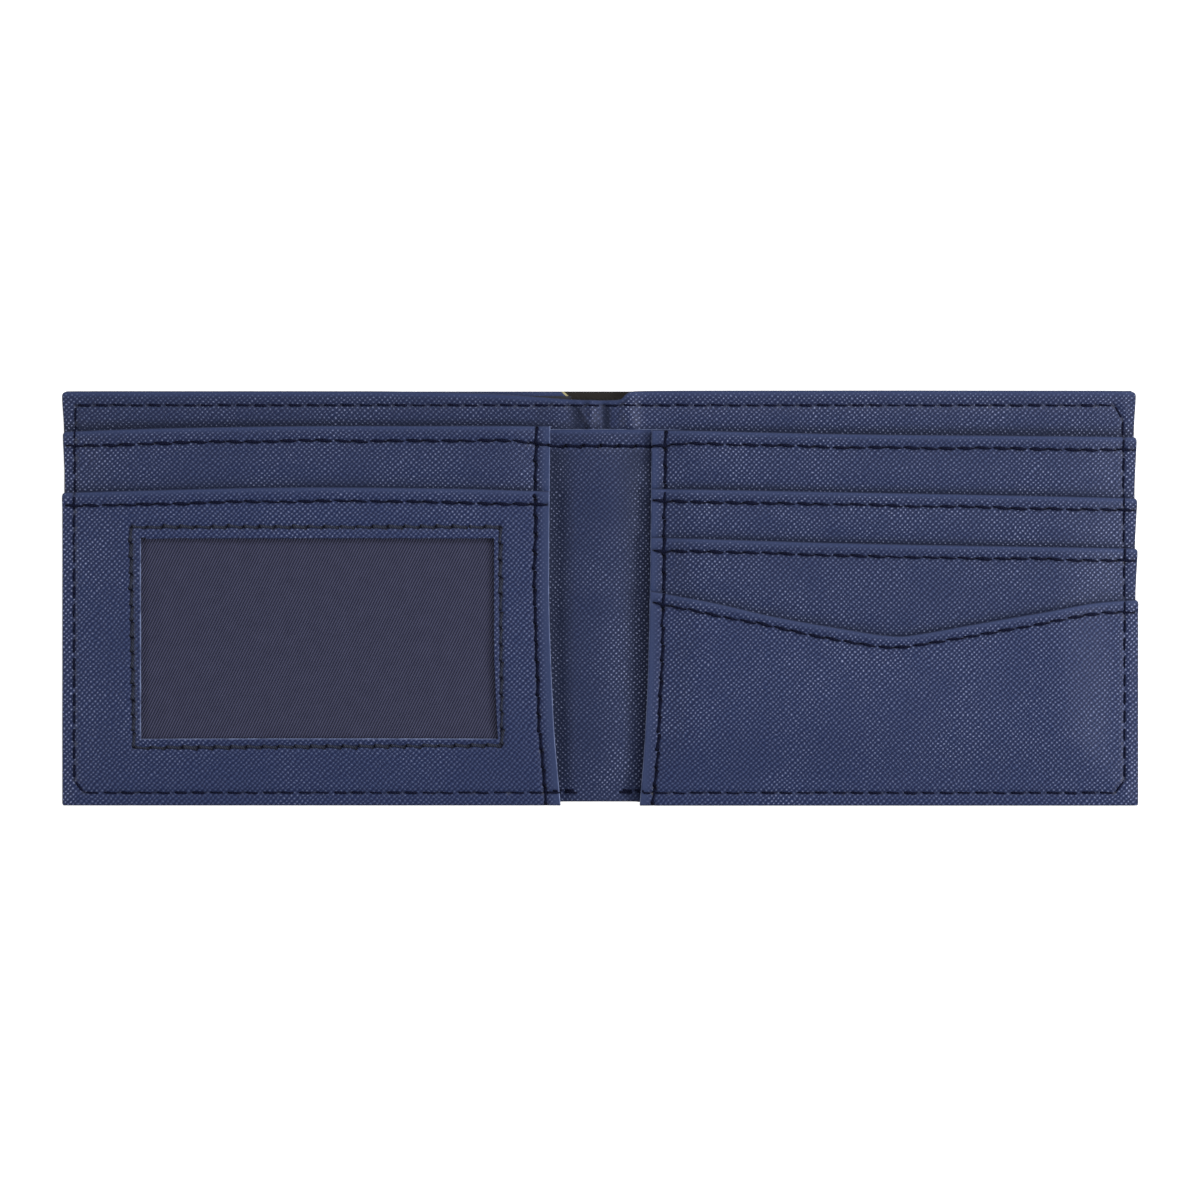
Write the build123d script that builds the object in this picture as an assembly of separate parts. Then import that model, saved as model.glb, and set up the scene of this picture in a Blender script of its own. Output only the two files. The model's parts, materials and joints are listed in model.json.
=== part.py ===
from build123d import *
import os

# Bifold wallet lying open and flat, with its card side up.
# X runs across the two leaves, Y towards the mouth of the bill compartment, Z up from the cover's outside.
# The origin is under the middle of the wallet, on the surface it lies on. All sizes are in millimetres.

# ---- Overall ----
open_width = 228.6
leaf_height = 88.0
corner_radius = 0.9

# ---- Sheet thicknesses ----
cover_thickness = 0.9
stiffener_thickness = 0.3
bill_lining_thickness = 0.15
facing_thickness = 0.5
front_wall_thickness = 0.25
strip_thickness = 0.45
panel_thickness = 0.5
slot_lining_thickness = 0.15
film_thickness = 0.2

# ---- Room inside the pockets ----
bill_gap = 0.45
spine_bill_gap = 0.1
card_gap = 0.25

# ---- Folds ----
closed_gap = 1.7
fold_clearance = 0.3
cover_joint_gap = 0.3

# ---- Bill compartment ----
facing_depth = 13.0
spine_facing_dip = 1.6
strip_mouth_drop = 8.1
strip_bottom_lift = 0.7

# ---- Leaf panels: where their inner side edges run, outwards from the fold lines ----
inner_edge_top = 5.4
inner_edge_knee = 4.9
inner_edge_bottom = 3.1
inner_knee_height = 32.0
strip_tuck = 6.2
front_wall_butt_gap = 0.1

# ---- Panel mouths: drop below the wallet's top edge at the inner end and at the outer end ----
left_slot_drops = (7.4, 8.5)
id_panel_drops = (20.9, 21.4)
card_1_drops = (8.2, 9.6)
card_2_drops = (20.8, 22.7)
card_3_drops = (31.1, 33.4)
front_panel_drops = (42.6, 44.2)
front_v_drop = 52.2
front_v_from_edge = 50.8
front_v_radius = 30.0
seam_allowance = 5.5

# ---- Identity window ----
window_outer_margin = 16.8
window_inner_margin = 12.0
window_top_margin = 9.9
window_bottom_margin = 14.2
window_corner_radius = 0.8
film_overlap = 3.6

# ---- Stitching ----
thread_width = 0.5
thread_height = 0.2
stitch_length = 3.0
stitch_pitch = 3.7
window_stitch_length = 2.7
window_stitch_pitch = 3.4
seam_inset_side = 3.0
seam_inset_top = 3.0
seam_inset_bottom = 2.4
hem_seam_inset = 3.0
inner_seam_inset = 2.9
window_seam_inset = 1.9
seam_end_gap = 1.6
backtack_free_half_width = 4.0
groove_width = 0.9
groove_depth = 0.3

# ---- Worked out from the values above ----
half_width = open_width / 2
half_height = leaf_height / 2

pivot_height = cover_thickness
stiffener_top = cover_thickness + stiffener_thickness
bill_lining_top = stiffener_top + bill_lining_thickness
facing_top = bill_lining_top + facing_thickness
front_wall_base = facing_top + bill_gap
front_wall_top = front_wall_base + front_wall_thickness
slot_room = card_gap + slot_lining_thickness
panel_step = slot_room + panel_thickness
left_slot_top = front_wall_top + panel_step
id_room = slot_lining_thickness + card_gap + film_thickness
id_panel_top = left_slot_top + id_room + panel_thickness
card_tops = tuple(front_wall_top + panel_step * (layer + 1) for layer in range(4))

left_stack = id_panel_top + thread_height - pivot_height
right_stack = card_tops[-1] + thread_height - pivot_height
fold_x = (left_stack + right_stack + closed_gap) / 2

spine_lining_top = cover_thickness + bill_lining_thickness
spine_facing_top = spine_lining_top + facing_thickness
spine_strip_base = spine_facing_top + spine_bill_gap
spine_strip_top = spine_strip_base + strip_thickness
strip_mouth_y = half_height - strip_mouth_drop
strip_bottom_y = strip_bottom_lift - half_height
strip_end_x = fold_x + inner_edge_top + strip_tuck


# ---- Shared geometry ----

def sheet(outline, base, top):
    """Flat sheet with straight-sided outline (X, Y points in order), between two heights."""
    face = make_face(Polyline(*outline, close=True))
    return Pos(0, 0, base) * extrude(face, amount=top - base, dir=(0, 0, 1))


def block(x_low, x_high, y_low, y_high, base, top):
    """Upright block between opposite corners."""
    outline = [(x_low, y_low), (x_high, y_low), (x_high, y_high), (x_low, y_high)]
    return sheet(outline, base, top)


def wing_block(side, inner_x, outer_x, y_low, y_high, base, top):
    """Block on one leaf, from inner_x to outer_x outwards from the middle (side is -1 left, 1 right)."""
    x_low, x_high = sorted((side * inner_x, side * outer_x))
    return block(x_low, x_high, y_low, y_high, base, top)


def clear_of_fold(top):
    """Distance to keep from a fold line, so that a sheet this high clears its mirror image when folded."""
    return top - pivot_height + fold_clearance


def between(points, at):
    """Value at a position on a line of (position, value) points, in order of position."""
    for (start, first), (end, last) in zip(points, points[1:]):
        if at <= end:
            return first + (last - first) * (at - start) / (end - start)
    return points[-1][1]


def inner_edge_points():
    """Side edge of the leaf panels next to the spine, as (Y, distance from the middle), upwards."""
    knee_y = inner_knee_height - half_height
    return [
        (-half_height, fold_x + inner_edge_bottom),
        (knee_y, fold_x + inner_edge_knee),
        (half_height, fold_x + inner_edge_top),
    ]


def inner_edge(y):
    """Distance of the leaf panels' inner side edge from the middle at height Y."""
    return between(inner_edge_points(), y)


def mouth_points(drops):
    """Straight mouth of a panel, as (distance from the middle, Y), outwards."""
    inner_y, outer_y = (half_height - drop for drop in drops)
    return [(inner_edge(inner_y), inner_y), (half_width, outer_y)]


def front_mouth_points():
    """V-shaped mouth of the front panel, as (distance from the middle, Y), outwards."""
    inner, outer = mouth_points(front_panel_drops)
    lowest = (half_width - front_v_from_edge, half_height - front_v_drop)
    return [inner, lowest, outer]


LEFT_LAYERS = [
    (mouth_points(left_slot_drops), left_slot_top),
    (mouth_points(id_panel_drops), id_panel_top),
]
RIGHT_LAYERS = [
    (mouth_points(card_1_drops), card_tops[0]),
    (mouth_points(card_2_drops), card_tops[1]),
    (mouth_points(card_3_drops), card_tops[2]),
    (front_mouth_points(), card_tops[3]),
]


def panel_outline(side, mouth):
    """Outline of a leaf panel: its mouth, the wallet's outer and bottom edges, and the inner side edge."""
    bottom, knee, _ = inner_edge_points()
    points = mouth + [(half_width, -half_height), (bottom[1], bottom[0])]
    if mouth[0][1] > knee[0]:
        points.append((knee[1], knee[0]))
    return [(side * x, y) for x, y in points]


def pocket_outline(side, mouth):
    """The room behind a panel: inside its three sewn sides, and open past its mouth."""
    highest = max(y for _, y in mouth) + seam_allowance
    low = seam_allowance - half_height
    outer = half_width - seam_allowance
    knee_y = inner_knee_height - half_height
    levels = [low] + [y for y in (knee_y,) if low < y < highest] + [highest]
    inner = [(inner_edge(y) + seam_allowance, y) for y in levels]
    return [(side * x, y) for x, y in inner + [(outer, highest), (outer, low)]]


def pocket_panel(side, mouth, base, room):
    """Panel sewn down on three sides: a sheet with a shallow pocket behind it, open at its mouth."""
    panel = sheet(panel_outline(side, mouth), base, base + room + panel_thickness)
    return panel - sheet(pocket_outline(side, mouth), base, base + room)


def pocket_lining(side, mouth, top):
    """Lining bonded to the back of a panel, inside its sewn sides and a hem's width below its mouth."""
    lining = sheet(pocket_outline(side, mouth), top - slot_lining_thickness, top)
    lowered = [(x, y - hem_seam_inset - thread_width) for x, y in mouth]
    start, end = lowered[0], lowered[-1]
    above = [(0, start[1])] + lowered + [(half_width + seam_allowance, end[1])]
    above += [(half_width + seam_allowance, leaf_height), (0, leaf_height)]
    return lining - sheet([(side * x, y) for x, y in above], 0, top + panel_thickness)


# ---- Outer cover and the bill compartment ----

def seam_groove():
    """Shallow groove round the cover's outside, which the underside stitches lie in."""
    reach = groove_width / 2
    x = half_width - seam_inset_side
    low = seam_inset_bottom - half_height
    high = half_height - seam_inset_top
    outside = block(-x - reach, x + reach, low - reach, high + reach, 0, groove_depth)
    return outside - block(reach - x, x - reach, low + reach, high - reach, 0, groove_depth)


def outer_cover_leaf(side):
    """One leaf of the outer cover, with its two free corners rounded."""
    inner = fold_x + cover_joint_gap / 2
    leaf = wing_block(side, inner, half_width, -half_height, half_height, 0, cover_thickness)
    corners = leaf.edges().filter_by(Axis.Z).sort_by(lambda edge: side * edge.center().X)[-2:]
    return fillet(corners, corner_radius) - seam_groove()


def outer_cover_spine():
    """Strip of the outer cover between the two fold lines."""
    x = fold_x - cover_joint_gap / 2
    return block(-x, x, -half_height, half_height, 0, cover_thickness) - seam_groove()


def cover_stiffener(side):
    """Thin board bonded inside one leaf of the cover."""
    inner = fold_x + clear_of_fold(stiffener_top)
    outer = half_width - corner_radius
    high = half_height - corner_radius
    return wing_block(side, inner, outer, -high, high, cover_thickness, stiffener_top)


def bill_lining(side):
    """Lining of the bill compartment's back wall on one leaf."""
    inner = fold_x + clear_of_fold(bill_lining_top)
    outer = half_width - corner_radius
    high = half_height - corner_radius
    return wing_block(side, inner, outer, -high, high, stiffener_top, bill_lining_top)


def bill_lining_spine():
    """Lining of the bill compartment's back wall between the folds."""
    x = fold_x - clear_of_fold(spine_lining_top)
    high = half_height - corner_radius
    return block(-x, x, -high, high, cover_thickness, spine_lining_top)


def top_facing(side):
    """Band of cover material along the mouth of the bill compartment's back wall, on one leaf."""
    inner = fold_x + clear_of_fold(facing_top)
    low = half_height - facing_depth
    facing = wing_block(side, inner, half_width, low, half_height, bill_lining_top, facing_top)
    outer_edges = facing.edges().filter_by(Axis.Z).sort_by(lambda edge: side * edge.center().X)[-2:]
    return fillet(outer_edges.sort_by(Axis.Y)[-1:], corner_radius)


def top_facing_spine():
    """The same band between the folds, where its edge dips a little."""
    x = fold_x - clear_of_fold(spine_facing_top)
    low = half_height - facing_depth
    high = half_height - spine_facing_dip
    return block(-x, x, low, high, spine_lining_top, spine_facing_top)


def bill_front_wall(side, mouth):
    """Front wall of the bill compartment on one leaf, sewn down at its outer side and its bottom."""
    inner = strip_end_x + front_wall_butt_gap
    mouth_y = between(mouth, inner)
    outline = [(inner, -half_height), (half_width, -half_height), mouth[-1], (inner, mouth_y)]
    wall = sheet([(side * x, y) for x, y in outline], bill_lining_top, front_wall_top)
    low = seam_allowance - half_height
    outer = half_width - seam_allowance
    room = wing_block(side, 0, outer, low, leaf_height, bill_lining_top, front_wall_base)
    facing_low = half_height - facing_depth
    facing_room = wing_block(side, 0, open_width, facing_low, leaf_height, bill_lining_top, facing_top)
    return wall - room - facing_room


# ---- Spine strip ----

def spine_strip():
    """Middle of the strip that joins the two sets of panels, sewn down along its bottom."""
    x = fold_x - clear_of_fold(spine_strip_top)
    strip = block(-x, x, strip_bottom_y, strip_mouth_y, spine_strip_base, spine_strip_top)
    low = seam_allowance - half_height
    return strip + block(-x, x, strip_bottom_y, low, spine_lining_top, spine_strip_base)


def spine_strip_flap(side):
    """End of the spine strip that is tucked and sewn under one leaf's panels."""
    inner = fold_x + clear_of_fold(front_wall_top)
    base = front_wall_top - strip_thickness
    flap = wing_block(side, inner, strip_end_x, strip_bottom_y, strip_mouth_y, base, front_wall_top)
    low = seam_allowance - half_height
    return flap + wing_block(side, inner, strip_end_x, strip_bottom_y, low, bill_lining_top, base)


# ---- Left leaf panels ----

def id_window_frame():
    """Edges of the identity window: X from and to, Y from and to."""
    mouth = mouth_points(id_panel_drops)
    x_low = window_outer_margin - half_width
    x_high = -inner_edge(0) - window_inner_margin
    y_high = min(y for _, y in mouth) - window_top_margin
    y_low = window_bottom_margin - half_height
    return x_low, x_high, y_low, y_high


def id_window_panel():
    """Panel with the identity window, whose cut-out goes right through it."""
    mouth = mouth_points(id_panel_drops)
    panel = pocket_panel(-1, mouth, left_slot_top, id_room)
    window = block(*id_window_frame(), left_slot_top, id_panel_top)
    window = fillet(window.edges().filter_by(Axis.Z), window_corner_radius)
    return panel - window


def id_window_film():
    """Clear film bonded behind the identity window."""
    x_low, x_high, y_low, y_high = id_window_frame()
    reach = film_overlap
    top = id_panel_top - panel_thickness
    film = block(x_low - reach, x_high + reach, y_low - reach, y_high + reach, top - film_thickness, top)
    return film & sheet(pocket_outline(-1, mouth_points(id_panel_drops)), top - film_thickness, top)


def id_pocket_lining():
    """Twill lining seen through the identity window, bonded to the panel behind it."""
    return pocket_lining(-1, mouth_points(id_panel_drops), left_slot_top + slot_lining_thickness)


# ---- Stitching ----

def row(start, end, pitch, length):
    """Evenly spaced stitches between two points, as (centre, direction, length)."""
    line = Vector(*end) - Vector(*start)
    count = max(1, round(line.length / pitch))
    steps = [(index + 0.5) / count for index in range(count)]
    return [(Vector(*start) + line * step, line.normalized(), length) for step in steps]


def rows(points, pitch=stitch_pitch, length=stitch_length):
    """Stitches along a line of points, starting afresh at each corner."""
    return [stitch for start, end in zip(points, points[1:]) for stitch in row(start, end, pitch, length)]


def stitch_ends(stitch):
    """The two ends and the centre of a stitch, as X, Y pairs."""
    centre, direction, length = stitch
    return [tuple(centre + direction * (length * part))[:2] for part in (-0.5, 0, 0.5)]


def leaf_surface(x, y):
    """Height of the uppermost sheet of a leaf at a point."""
    layers = RIGHT_LAYERS if x > 0 else LEFT_LAYERS
    covering = [top for mouth, top in layers if abs(x) >= inner_edge(y) and y <= between(mouth, abs(x))]
    if covering:
        return covering[-1]
    on_flap = y <= strip_mouth_y and abs(x) <= strip_end_x
    return front_wall_top if on_flap else facing_top


def stitch_solid(stitch, base):
    """One stitch lying on a surface."""
    centre, direction, length = stitch
    angle = Vector(1, 0, 0).get_signed_angle(direction, Vector(0, 0, 1))
    solid = Box(length, thread_width, thread_height, align=(Align.CENTER, Align.CENTER, Align.MIN))
    return Pos(centre.X, centre.Y, base) * Rot(0, 0, angle) * solid


def stitches_on_leaf(stitches):
    """Stitches lying on whichever sheet of their leaf is uppermost under each."""
    return [stitch_solid(one, max(leaf_surface(*end) for end in stitch_ends(one))) for one in stitches]


def perimeter_rows():
    """Stitches of the seam round the wallet, which stops short of the middle at the bottom."""
    x = half_width - seam_inset_side
    low = seam_inset_bottom - half_height
    high = half_height - seam_inset_top
    free = backtack_free_half_width
    return rows([(-free, low), (-x, low), (-x, high), (x, high), (x, low), (free, low)])


def within(stitches, low, high):
    """Stitches that lie wholly between two X places."""
    return [one for one in stitches if all(low <= end[0] <= high for end in stitch_ends(one))]


def on_leaf(side, stitches, top):
    """Stitches that lie wholly on one leaf, clear of its fold by what their height needs."""
    inner = fold_x + clear_of_fold(top)
    low, high = sorted((side * inner, side * half_width))
    return within(stitches, low, high)


def perimeter_thread(side):
    """Perimeter seam on one leaf: stitches on the panels and in the groove underneath."""
    above = on_leaf(side, perimeter_rows(), front_wall_top + thread_height)
    below = on_leaf(side, perimeter_rows(), pivot_height)
    return stitches_on_leaf(above) + [stitch_solid(one, groove_depth - thread_height) for one in below]


def perimeter_thread_spine():
    """Perimeter seam between the folds: stitches on the facing and in the groove underneath."""
    reach = fold_x - clear_of_fold(spine_facing_top + thread_height)
    top_row = [one for one in perimeter_rows() if one[0].Y > 0]
    above = within(top_row, -reach, reach)
    below = within(perimeter_rows(), cover_joint_gap - fold_x, fold_x - cover_joint_gap)
    stitches = [stitch_solid(one, spine_facing_top) for one in above]
    return stitches + [stitch_solid(one, groove_depth - thread_height) for one in below]


def hem_thread(side, mouth):
    """Seam along the turned mouth of a leaf panel."""
    first = mouth[0][0] + inner_seam_inset + seam_end_gap
    last = half_width - seam_inset_side - seam_end_gap
    middle = [x for x, _ in mouth[1:-1]]
    line = [(x, between(mouth, x) - hem_seam_inset) for x in [first] + middle + [last]]
    return stitches_on_leaf(rows([(side * x, y) for x, y in line]))


def inner_edge_thread(side, mouth):
    """Seam down the inner side edge of a leaf's panels."""
    low = seam_inset_bottom + seam_end_gap - half_height
    high = mouth[0][1] - seam_end_gap
    knee_y = inner_knee_height - half_height
    levels = [low] + [y for y in (knee_y,) if low < y < high] + [high]
    line = [(side * (inner_edge(y) + inner_seam_inset), y) for y in levels]
    return stitches_on_leaf(rows(line))


def spine_hem_thread():
    """Seam along the turned mouth of the spine strip."""
    reach = fold_x - clear_of_fold(spine_strip_top + thread_height)
    y = strip_mouth_y - hem_seam_inset
    return [stitch_solid(one, spine_strip_top) for one in rows([(-reach, y), (reach, y)])]


def window_thread():
    """Seam round the identity window."""
    x_low, x_high, y_low, y_high = id_window_frame()
    out = window_seam_inset
    corners = [
        (x_low - out, y_low - out),
        (x_high + out, y_low - out),
        (x_high + out, y_high + out),
        (x_low - out, y_high + out),
        (x_low - out, y_low - out),
    ]
    stitches = rows(corners, window_stitch_pitch, window_stitch_length)
    return [stitch_solid(one, id_panel_top) for one in stitches]


# ---- All the nodes ----

def cover_nodes():
    """Outer cover and the bill compartment's walls."""
    nodes = {
        "outer_cover_spine": outer_cover_spine(),
        "bill_lining_spine": bill_lining_spine(),
        "top_facing_spine": top_facing_spine(),
        "spine_strip": spine_strip(),
    }
    for name, side, layers in (("left", -1, LEFT_LAYERS), ("right", 1, RIGHT_LAYERS)):
        nodes["outer_cover_" + name] = outer_cover_leaf(side)
        nodes["cover_stiffener_" + name] = cover_stiffener(side)
        nodes["bill_lining_" + name] = bill_lining(side)
        nodes["top_facing_" + name] = top_facing(side)
        nodes["bill_front_wall_" + name] = bill_front_wall(side, layers[0][0])
        nodes["spine_strip_flap_" + name] = spine_strip_flap(side)
    return nodes


def left_panel_nodes():
    """Left leaf: a slot panel under the panel with the identity window."""
    mouth = LEFT_LAYERS[0][0]
    return {
        "left_slot_panel": pocket_panel(-1, mouth, front_wall_top, slot_room),
        "left_slot_lining": pocket_lining(-1, mouth, left_slot_top - panel_thickness),
        "id_pocket_lining": id_pocket_lining(),
        "id_window_film": id_window_film(),
        "id_window_panel": id_window_panel(),
    }


def right_panel_nodes():
    """Right leaf: three card panels in steps under the front panel, each with its lining."""
    nodes = {}
    base = front_wall_top
    for number, (mouth, top) in enumerate(RIGHT_LAYERS, start=1):
        last = number == len(RIGHT_LAYERS)
        panel = pocket_panel(1, mouth, base, slot_room)
        nodes["front_panel" if last else f"card_panel_{number}"] = round_v(panel) if last else panel
        nodes[f"card_lining_{number}"] = pocket_lining(1, mouth, top - panel_thickness)
        base = top
    return nodes


def round_v(panel):
    """Round the lowest point of the front panel's V-shaped mouth."""
    x, y = front_mouth_points()[1]
    upright = panel.edges().filter_by(Axis.Z)
    point = [edge for edge in upright if abs(edge.center().X - x) < 0.01 and abs(edge.center().Y - y) < 0.01]
    return fillet(point, front_v_radius)


def thread_nodes():
    """Every seam, as groups of separate stitches."""
    hems = {
        "left_slot_hem_thread": (-1, LEFT_LAYERS[0][0]),
        "id_panel_hem_thread": (-1, LEFT_LAYERS[1][0]),
        "card_1_hem_thread": (1, RIGHT_LAYERS[0][0]),
        "card_2_hem_thread": (1, RIGHT_LAYERS[1][0]),
        "card_3_hem_thread": (1, RIGHT_LAYERS[2][0]),
        "front_panel_hem_thread": (1, RIGHT_LAYERS[3][0]),
    }
    groups = {name: hem_thread(side, mouth) for name, (side, mouth) in hems.items()}
    groups["perimeter_thread_left"] = perimeter_thread(-1)
    groups["perimeter_thread_right"] = perimeter_thread(1)
    groups["perimeter_thread_spine"] = perimeter_thread_spine()
    groups["inner_edge_thread_left"] = inner_edge_thread(-1, LEFT_LAYERS[0][0])
    groups["inner_edge_thread_right"] = inner_edge_thread(1, RIGHT_LAYERS[0][0])
    groups["spine_strip_hem_thread"] = spine_hem_thread()
    groups["window_thread"] = window_thread()
    return {name: Compound(children=stitches) for name, stitches in groups.items()}


def main():
    """Write each node to parts/."""
    os.makedirs("parts", exist_ok=True)
    nodes = cover_nodes() | left_panel_nodes() | right_panel_nodes() | thread_nodes()
    for name, shape in nodes.items():
        export_step(shape, f"parts/{name}.step")
    print(f"{len(nodes)} nodes, fold lines at X = +/-{fold_x:.3f} mm")


main()
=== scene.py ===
import json
import logging
import math
from dataclasses import dataclass, field, replace
from enum import Enum
from typing import Callable

import bpy
import numpy as np
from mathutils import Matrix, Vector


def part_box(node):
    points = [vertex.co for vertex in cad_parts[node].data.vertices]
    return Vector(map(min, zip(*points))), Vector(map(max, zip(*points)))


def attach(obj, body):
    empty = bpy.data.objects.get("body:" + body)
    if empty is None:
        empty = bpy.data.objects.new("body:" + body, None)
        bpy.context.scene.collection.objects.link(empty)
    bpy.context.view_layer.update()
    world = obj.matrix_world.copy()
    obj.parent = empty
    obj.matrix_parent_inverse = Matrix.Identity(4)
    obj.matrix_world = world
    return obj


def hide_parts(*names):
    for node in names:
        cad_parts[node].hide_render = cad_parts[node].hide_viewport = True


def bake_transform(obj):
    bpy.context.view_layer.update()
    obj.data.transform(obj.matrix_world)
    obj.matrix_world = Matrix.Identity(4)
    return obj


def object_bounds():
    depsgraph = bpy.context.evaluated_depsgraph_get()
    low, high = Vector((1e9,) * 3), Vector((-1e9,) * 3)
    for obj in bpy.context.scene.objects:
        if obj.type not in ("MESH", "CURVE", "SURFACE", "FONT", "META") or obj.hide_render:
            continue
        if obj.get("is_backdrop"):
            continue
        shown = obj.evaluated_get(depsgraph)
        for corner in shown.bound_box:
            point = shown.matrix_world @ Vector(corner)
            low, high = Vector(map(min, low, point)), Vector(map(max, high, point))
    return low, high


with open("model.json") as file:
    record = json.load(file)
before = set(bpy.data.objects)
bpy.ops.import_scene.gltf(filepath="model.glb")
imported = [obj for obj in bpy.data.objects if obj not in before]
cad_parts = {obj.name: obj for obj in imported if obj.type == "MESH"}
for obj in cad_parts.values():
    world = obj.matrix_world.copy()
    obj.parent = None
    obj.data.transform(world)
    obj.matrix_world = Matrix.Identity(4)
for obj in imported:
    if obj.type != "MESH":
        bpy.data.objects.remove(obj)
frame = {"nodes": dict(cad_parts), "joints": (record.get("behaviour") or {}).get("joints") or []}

# Looks of a bifold wallet lying open and flat. Sizes are in millimetres until a mesh is written in metres.
# A leaf is described by the distance outwards from the wallet's middle and by Y, so both sides share code.

MM = 0.001
WAVES = 6
SEAM_WOBBLE = 0.12
# Strength of the painted highlight on the grain's dots where a sheet sets none.
PLAIN_GLEAM = 0.5
LOG = logging.getLogger("wallet")

Array = np.ndarray
Line = Callable[[Array], Array]
Field = Callable[[Array, Array], Array]
Bell = tuple[float, float, float]
Colour = tuple[float, float, float, float]
Piece = bpy.types.Object
Material = bpy.types.Material
Socket = bpy.types.NodeSocket


class Side(Enum):
    """The two leaves, by the direction of X in which each lies."""

    LEFT = -1
    RIGHT = 1

    @property
    def word(self) -> str:
        """The side's name as node names end in it."""
        return self.name.lower()

    @property
    def leaf(self) -> str:
        """The CAD body of this side's leaf."""
        return f"{self.word}_leaf"


# ---- Lines, steps and noise ----

def ease(share: Array) -> Array:
    """Smooth step: 0 below 0, 1 above 1, and 3t^2 - 2t^3 between."""
    t = np.clip(share, 0.0, 1.0)
    return t * t * (3.0 - 2.0 * t)


def bump(distance: Array, width: float) -> Array:
    """Bell of height 1 and the given width: exp of minus the squared ratio."""
    return np.exp(-np.square(distance / width))


def bells(place: Array, shapes: tuple[Bell, ...]) -> Array:
    """Sum of bells, each given as its centre, its width and its height."""
    return sum(height * bump(place - centre, width) for centre, width, height in shapes)


def through(*points: tuple[float, float]) -> Line:
    """Smooth line through (position, value) points.

    Args:
        points: The points in order of position.

    Returns:
        A function of position: cubic Hermite spans that don't overshoot. The slope at a point is the
        harmonic mean of the slopes on its two sides, or 0 where those differ in sign.
    """
    at = np.array([point[0] for point in points], float)
    value = np.array([point[1] for point in points], float)
    secant = np.diff(value) / np.diff(at)
    same = secant[:-1] * secant[1:] > 0
    both = np.where(same, secant[:-1] + secant[1:], 1.0)
    inside = np.where(same, 2 * secant[:-1] * secant[1:] / both, 0.0)
    slope = np.concatenate([secant[:1], inside, secant[-1:]])

    def line(position: Array) -> Array:
        """Value of the line at each position, level with the nearest end beyond its ends."""
        place = np.clip(np.asarray(position, float), at[0], at[-1])
        index = np.clip(np.searchsorted(at, place) - 1, 0, len(at) - 2)
        span = at[index + 1] - at[index]
        t = (place - at[index]) / span
        start = value[index] * (1 + 2 * t) * (1 - t) ** 2 + slope[index] * span * t * (1 - t) ** 2
        end = value[index + 1] * t * t * (3 - 2 * t) + slope[index + 1] * span * t * t * (t - 1)
        return start + end

    return line


def level(value: float) -> Line:
    """Line with one value everywhere."""
    return lambda position: np.full(np.shape(position), float(value))


def level_field(value: float) -> Field:
    """Height with one value everywhere."""
    return lambda x, y: np.full(np.shape(x), float(value))


def wander(x: Array, y: Array, seed: int, wave: float) -> Array:
    """Gentle unevenness: the mean of a few plane sine waves with seeded directions and phases.

    Args:
        x, y: Places.
        seed: Seed of the directions, lengths and phases.
        wave: Typical wave length.

    Returns:
        Values of about -1 to 1.
    """
    random = np.random.default_rng(seed)
    total = np.zeros(np.shape(x))
    for _ in range(WAVES):
        turn, phase = random.uniform(0, 2 * np.pi, 2)
        length = wave * random.uniform(0.6, 1.7)
        total += np.sin(2 * np.pi * (x * np.cos(turn) + y * np.sin(turn)) / length + phase)
    return total / math.sqrt(WAVES)


def graded(length: float, band: float, fine: float, coarse: float, lead: tuple[float, ...]) -> Array:
    """Grid positions along a side: close together near both ends, wider apart between.

    Args:
        length: Length of the side.
        band: Width of the fine stretch at each end.
        fine: Spacing in the fine stretches.
        coarse: Spacing between them.
        lead: Extra positions right beside each end, for its rounding.

    Returns:
        Positions from 0 to the length.
    """
    band = min(band, length * 0.45)
    near = np.concatenate([np.array((0.0,) + lead), np.arange(lead[-1] + fine, band, fine)])
    middle = np.linspace(band, length - band, max(2, round((length - 2 * band) / coarse)) + 1)
    return np.concatenate([near, middle, length - near[::-1]])


def stretch(steps: Array, low: Array, high: Array, band: float) -> Array:
    """Places of grid steps between two edges: true distances near both edges, evenly stretched between."""
    length = steps.max()
    share = np.clip((steps - band) / max(length - 2 * band, 1e-6), 0.0, 1.0)
    middle = (low + band) * (1 - share) + (high - band) * share
    near, far = low + steps, high - (length - steps)
    return np.where(steps < band, near, np.where(steps > length - band, far, middle))


def distance_to_path(x: Array, y: Array, path: Array) -> Array:
    """Distance of each place from a line of straight spans: the least over the spans of point to span."""
    start, span = path[:-1], np.diff(path, axis=0)
    dx, dy = x[:, None] - start[:, 0], y[:, None] - start[:, 1]
    along = (dx * span[:, 0] + dy * span[:, 1]) / np.maximum((span ** 2).sum(1), 1e-9)
    along = np.clip(along, 0.0, 1.0)
    return np.hypot(dx - along * span[:, 0], dy - along * span[:, 1]).min(1)


# ---- Seams ----

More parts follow.
